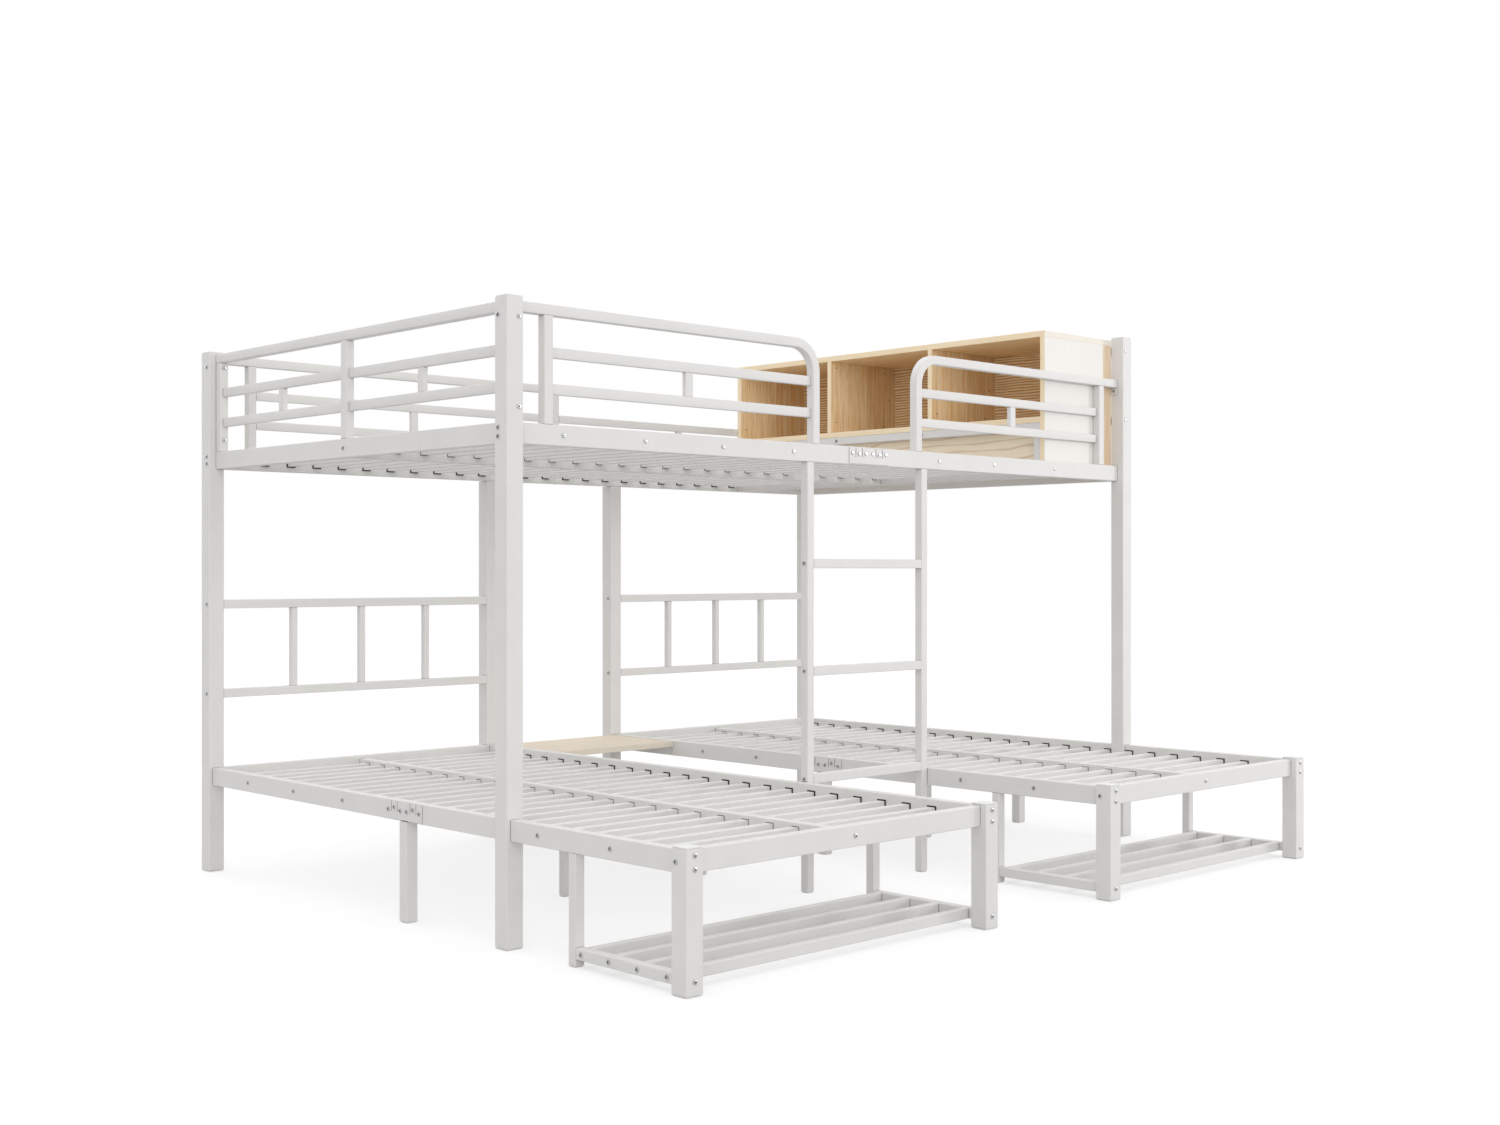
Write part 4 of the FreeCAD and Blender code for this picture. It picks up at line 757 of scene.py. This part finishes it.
def bolt_shape(sizes):
    """A low button head: circles that narrow to a flat top, then a six-sided socket that goes down again.

    A ring's radius is its share of the head's; in the socket it shrinks between the hexagon's corners.
    """
    count = np.arange(ROUND_SIDES)
    angle = count * 2 * math.pi / ROUND_SIDES
    flats = np.where(count % 2, math.cos(math.pi / 6), 1.0)
    widths = np.array((1.0, 1.0, 0.93, 0.8, 0.4, 0.4))
    heights = np.array((0.0, 0.55, 0.85, 1.0, 1.0, 0.4))
    hexagon = np.array((0, 0, 0, 0, 1, 1), bool)
    shape = np.where(hexagon[:, None], flats, 1.0) * widths[:, None] * sizes.bolt_radius
    tall = np.broadcast_to((heights * sizes.bolt_height)[:, None], shape.shape)
    rings = np.stack((shape * np.cos(angle), shape * np.sin(angle), tall), axis=-1)
    points, groups = skin(rings)
    walls = (np.arange(len(groups[0])) >= 4 * len(angle)).astype(int)
    return points, groups, walls


class BUNK_OT_bolts(bpy.types.Operator):
    """Seat the bolts of the frame"""
    bl_idname = "bunk_bed.bolts"
    bl_label = "Seat the bolts"

    def execute(self, context):
        colours = context.scene.bunk_colours
        seats, outwards = bolt_seats(context.scene.bunk_sizes.lug_thick)
        points, groups, walls = bolt_shape(context.scene.bunk_sizes)
        shape = set_at(points, groups, seats, outwards, UP)
        ends = np.array((0, 1))
        tints = np.concatenate((np.tile(walls, len(seats)), np.tile(ends, len(seats))))
        heads = zinc_plated_steel("zinc_plated_steel", colours.zinc, rough=0.25)
        hollow = zinc_plated_steel("shaded_zinc_socket", colours.socket, rough=0.5)
        add_piece("button_head_bolts", shape, [heads, hollow], ["frame_bolts"], tints)
        return {"FINISHED"}


# Shelf pin holes on one side of an upright board: behind its front edge, and below the top board
PIN_PLACES = np.array(((27, 21), (27, 210), (278, 21), (278, 210), (304, 115))) * MM


def pin_seats():
    """The seat and outward direction of each pin hole: both sides of the dividers, the ends' inner sides."""
    low, high = corners("bookcase_dividers")
    ends_low, ends_high = corners("bookcase_ends")
    top_low, top_high = corners("bookcase_top")
    thick = top_high[2] - top_low[2]
    south, north = (0, -1, 0), (0, 1, 0)
    faces = [(low[1], south), (high[1] - thick, south), (ends_high[1] - thick, south)]
    faces += [(low[1] + thick, north), (high[1], north), (ends_low[1] + thick, north)]
    spots = [((low[0] + back, y, high[2] - drop), outward)
             for y, outward in faces for back, drop in PIN_PLACES]
    seats = np.array(spots, float)
    return seats[:, 0], seats[:, 1]


def pin_shape(sizes):
    """A flat black disc, painted shade for a pin hole: a circle sunk in the board, one at the lip and a
    smaller one on top of it.
    """
    angle = np.arange(ROUND_SIDES) * 2 * math.pi / ROUND_SIDES
    widths = np.array((1.0, 1.0, 0.9)) * sizes.pin_radius
    heights = np.array((-1.0, 0.5, 1.0)) * sizes.pin_stand
    rings = np.stack((widths[:, None] * np.cos(angle), widths[:, None] * np.sin(angle),
                      np.broadcast_to(heights[:, None], (len(heights), ROUND_SIDES))), axis=-1)
    return skin(rings)


class BUNK_OT_pins(bpy.types.Operator):
    """Set black discs in the bookcase's shelf pin holes: painted shade for the hollow holes"""
    bl_idname = "bunk_bed.pins"
    bl_label = "Set the pin sleeves"

    def execute(self, context):
        seats, outwards = pin_seats()
        points, groups = pin_shape(context.scene.bunk_sizes)
        shape = set_at(points, groups, seats, outwards, UP)
        add_piece("painted_pin_hole_shade", shape, [bpy.data.materials["black_moulded_plastic"]])
        return {"FINISHED"}


# The studio: the floor's half width, the lights and the camera
FLOOR_REACH = 30.0
WORLD_STRENGTH = 0.69
SHINE_SIDE = (1.0, 0.0, 0.1)
SHINE_TURN = 0.7
SHINE_RANGE = (0.05, 1.3)
FLOOR_GLOW = 0.56
FLOOR_BOUNCE = 0.16
KEY_LIGHT = {"source": (6.0, -5.6, 1.2), "power": 121.0, "width": 1.5}
FILL_LIGHT = {"source": (-0.6, -0.78, 0.18), "strength": 1.05, "spread": 60.0}
TOP_LIGHT = {"source": (0.0, 0.0, 1.0), "strength": 0.98, "spread": 90.0}
BACK_LIGHT = {"source": (-0.1, 0.95, 0.45), "strength": 0.7, "spread": 40.0}
LIGHT_TARGET = (0.0, 0.0, 0.8)
CAMERA_PLACE = (-3.54859, -3.62422, 0.85693)
CAMERA_TURN = (90.0, 0.0, -43.914)
CAMERA_SENSOR = 36.0
CAMERA_LENS = 41.6
CAMERA_SHIFT = 0.00563


def add_light(name, lamp, source):
    """Hang a light out from the bed: its -Z axis runs from its source to the middle of the bed."""
    light = bpy.data.objects.new(name, lamp)
    across = math.hypot(source[0], source[1])
    light.rotation_euler = (math.atan2(across, source[2]), 0.0, math.atan2(source[0], -source[1]))
    light.location = np.add(source, LIGHT_TARGET)
    light.visible_camera = False
    bpy.context.scene.collection.objects.link(light)


def add_sun(name, source, strength, spread):
    """A soft light from far away, the same all over the bed."""
    lamp = bpy.data.lights.new(name, "SUN")
    lamp.energy = strength
    lamp.angle = math.radians(spread)
    add_light(name, lamp, source)


def add_soft_box(name, source, power, width):
    """A round soft box near the bed, stronger on the side where it stands."""
    lamp = bpy.data.lights.new(name, "AREA")
    lamp.shape = "DISK"
    lamp.size = width
    lamp.energy = power
    add_light(name, lamp, source)


class BUNK_OT_stage(bpy.types.Operator):
    """Set the white floor, the soft lights and the camera"""
    bl_idname = "bunk_bed.stage"
    bl_label = "Set the stage"

    def execute(self, context):
        scene = context.scene
        square = np.array(((-1, -1, 0), (1, -1, 0), (1, 1, 0), (-1, 1, 0)), float) * FLOOR_REACH
        mesh = bpy.data.meshes.new("studio_floor")
        mesh.from_pydata(square.tolist(), [], [[0, 1, 2, 3]])
        mesh.materials.append(paper_sweep(scene.bunk_colours))
        floor = bpy.data.objects.new("studio_floor", mesh)
        scene.collection.objects.link(floor)
        world = bpy.data.worlds.new("white_studio")
        world.use_nodes = True
        tree = world.node_tree
        tree.nodes.clear()
        # The backdrop is white to the eye, lights the bed less, and in gloss is bright on one side only
        path = add_node(tree, "ShaderNodeLightPath")
        side = add_node(tree, "ShaderNodeVectorMath", {"operation": "DOT_PRODUCT"}, {1: SHINE_SIDE},
                        {0: add_node(tree, "ShaderNodeTexCoord").outputs["Object"]})
        shade = add_node(tree, "ShaderNodeMapRange",
                         values={"From Min": -SHINE_TURN, "From Max": SHINE_TURN, "To Min": SHINE_RANGE[0],
                                 "To Max": SHINE_RANGE[1]},
                         links={"Value": side.outputs["Value"]})
        gloss = add_node(tree, "ShaderNodeMix", {"data_type": "FLOAT"}, {2: WORLD_STRENGTH},
                         {0: path.outputs["Is Glossy Ray"], 3: shade.outputs["Result"]})
        strength = add_node(tree, "ShaderNodeMix", {"data_type": "FLOAT"}, {3: 1.0},
                            {0: path.outputs["Is Camera Ray"], 2: gloss.outputs[0]})
        shine = add_node(tree, "ShaderNodeBackground", values={"Color": (1.0, 1.0, 1.0, 1.0)},
                         links={"Strength": strength.outputs[0]})
        add_node(tree, "ShaderNodeOutputWorld", links={"Surface": shine.outputs["Background"]})
        scene.world = world
        add_soft_box("key_light", **KEY_LIGHT)
        add_sun("fill_light", **FILL_LIGHT)
        add_sun("top_light", **TOP_LIGHT)
        add_sun("back_light", **BACK_LIGHT)
        scene.view_settings.view_transform = "Standard"
        lens = bpy.data.cameras.new("camera")
        lens.sensor_fit = "HORIZONTAL"
        lens.sensor_width = CAMERA_SENSOR
        lens.lens = CAMERA_LENS
        lens.shift_y = CAMERA_SHIFT
        lens.clip_end = 4 * FLOOR_REACH
        camera = bpy.data.objects.new("camera", lens)
        camera.location = CAMERA_PLACE
        camera.rotation_euler = [math.radians(turn) for turn in CAMERA_TURN]
        scene.collection.objects.link(camera)
        scene.camera = camera
        return {"FINISHED"}


OPERATORS = (BUNK_OT_steel, BUNK_OT_hoops, BUNK_OT_guards, BUNK_OT_boards, BUNK_OT_plastics, BUNK_OT_bolts,
             BUNK_OT_pins, BUNK_OT_stage)


class BUNK_PT_panel(bpy.types.Panel):
    """Steps, sizes and colours of the bunk bed"""
    bl_idname = "BUNK_PT_panel"
    bl_label = "Triple bunk bed"
    bl_space_type = "VIEW_3D"
    bl_region_type = "UI"
    bl_category = "Bunk Bed"

    def draw(self, context):
        for operator in OPERATORS:
            self.layout.operator(operator.bl_idname)
        for group in (context.scene.bunk_sizes, context.scene.bunk_colours):
            for name in group.__annotations__:
                self.layout.prop(group, name)


CLASSES = (BunkBedSizes, BunkBedColours, *OPERATORS, BUNK_PT_panel)


def register():
    """Register the classes and hang the sizes and colours on the scene."""
    for item in CLASSES:
        bpy.utils.register_class(item)
    bpy.types.Scene.bunk_sizes = bpy.props.PointerProperty(type=BunkBedSizes)
    bpy.types.Scene.bunk_colours = bpy.props.PointerProperty(type=BunkBedColours)


def unregister():
    """Take the sizes, colours and classes away again."""
    del bpy.types.Scene.bunk_colours
    del bpy.types.Scene.bunk_sizes
    for item in reversed(CLASSES):
        bpy.utils.unregister_class(item)


def main():
    """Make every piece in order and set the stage."""
    register()
    bpy.ops.bunk_bed.steel()
    bpy.ops.bunk_bed.hoops()
    bpy.ops.bunk_bed.guards()
    bpy.ops.bunk_bed.boards()
    bpy.ops.bunk_bed.plastics()
    bpy.ops.bunk_bed.bolts()
    bpy.ops.bunk_bed.pins()
    bpy.ops.bunk_bed.stage()


if __name__ == "__main__":
    main()
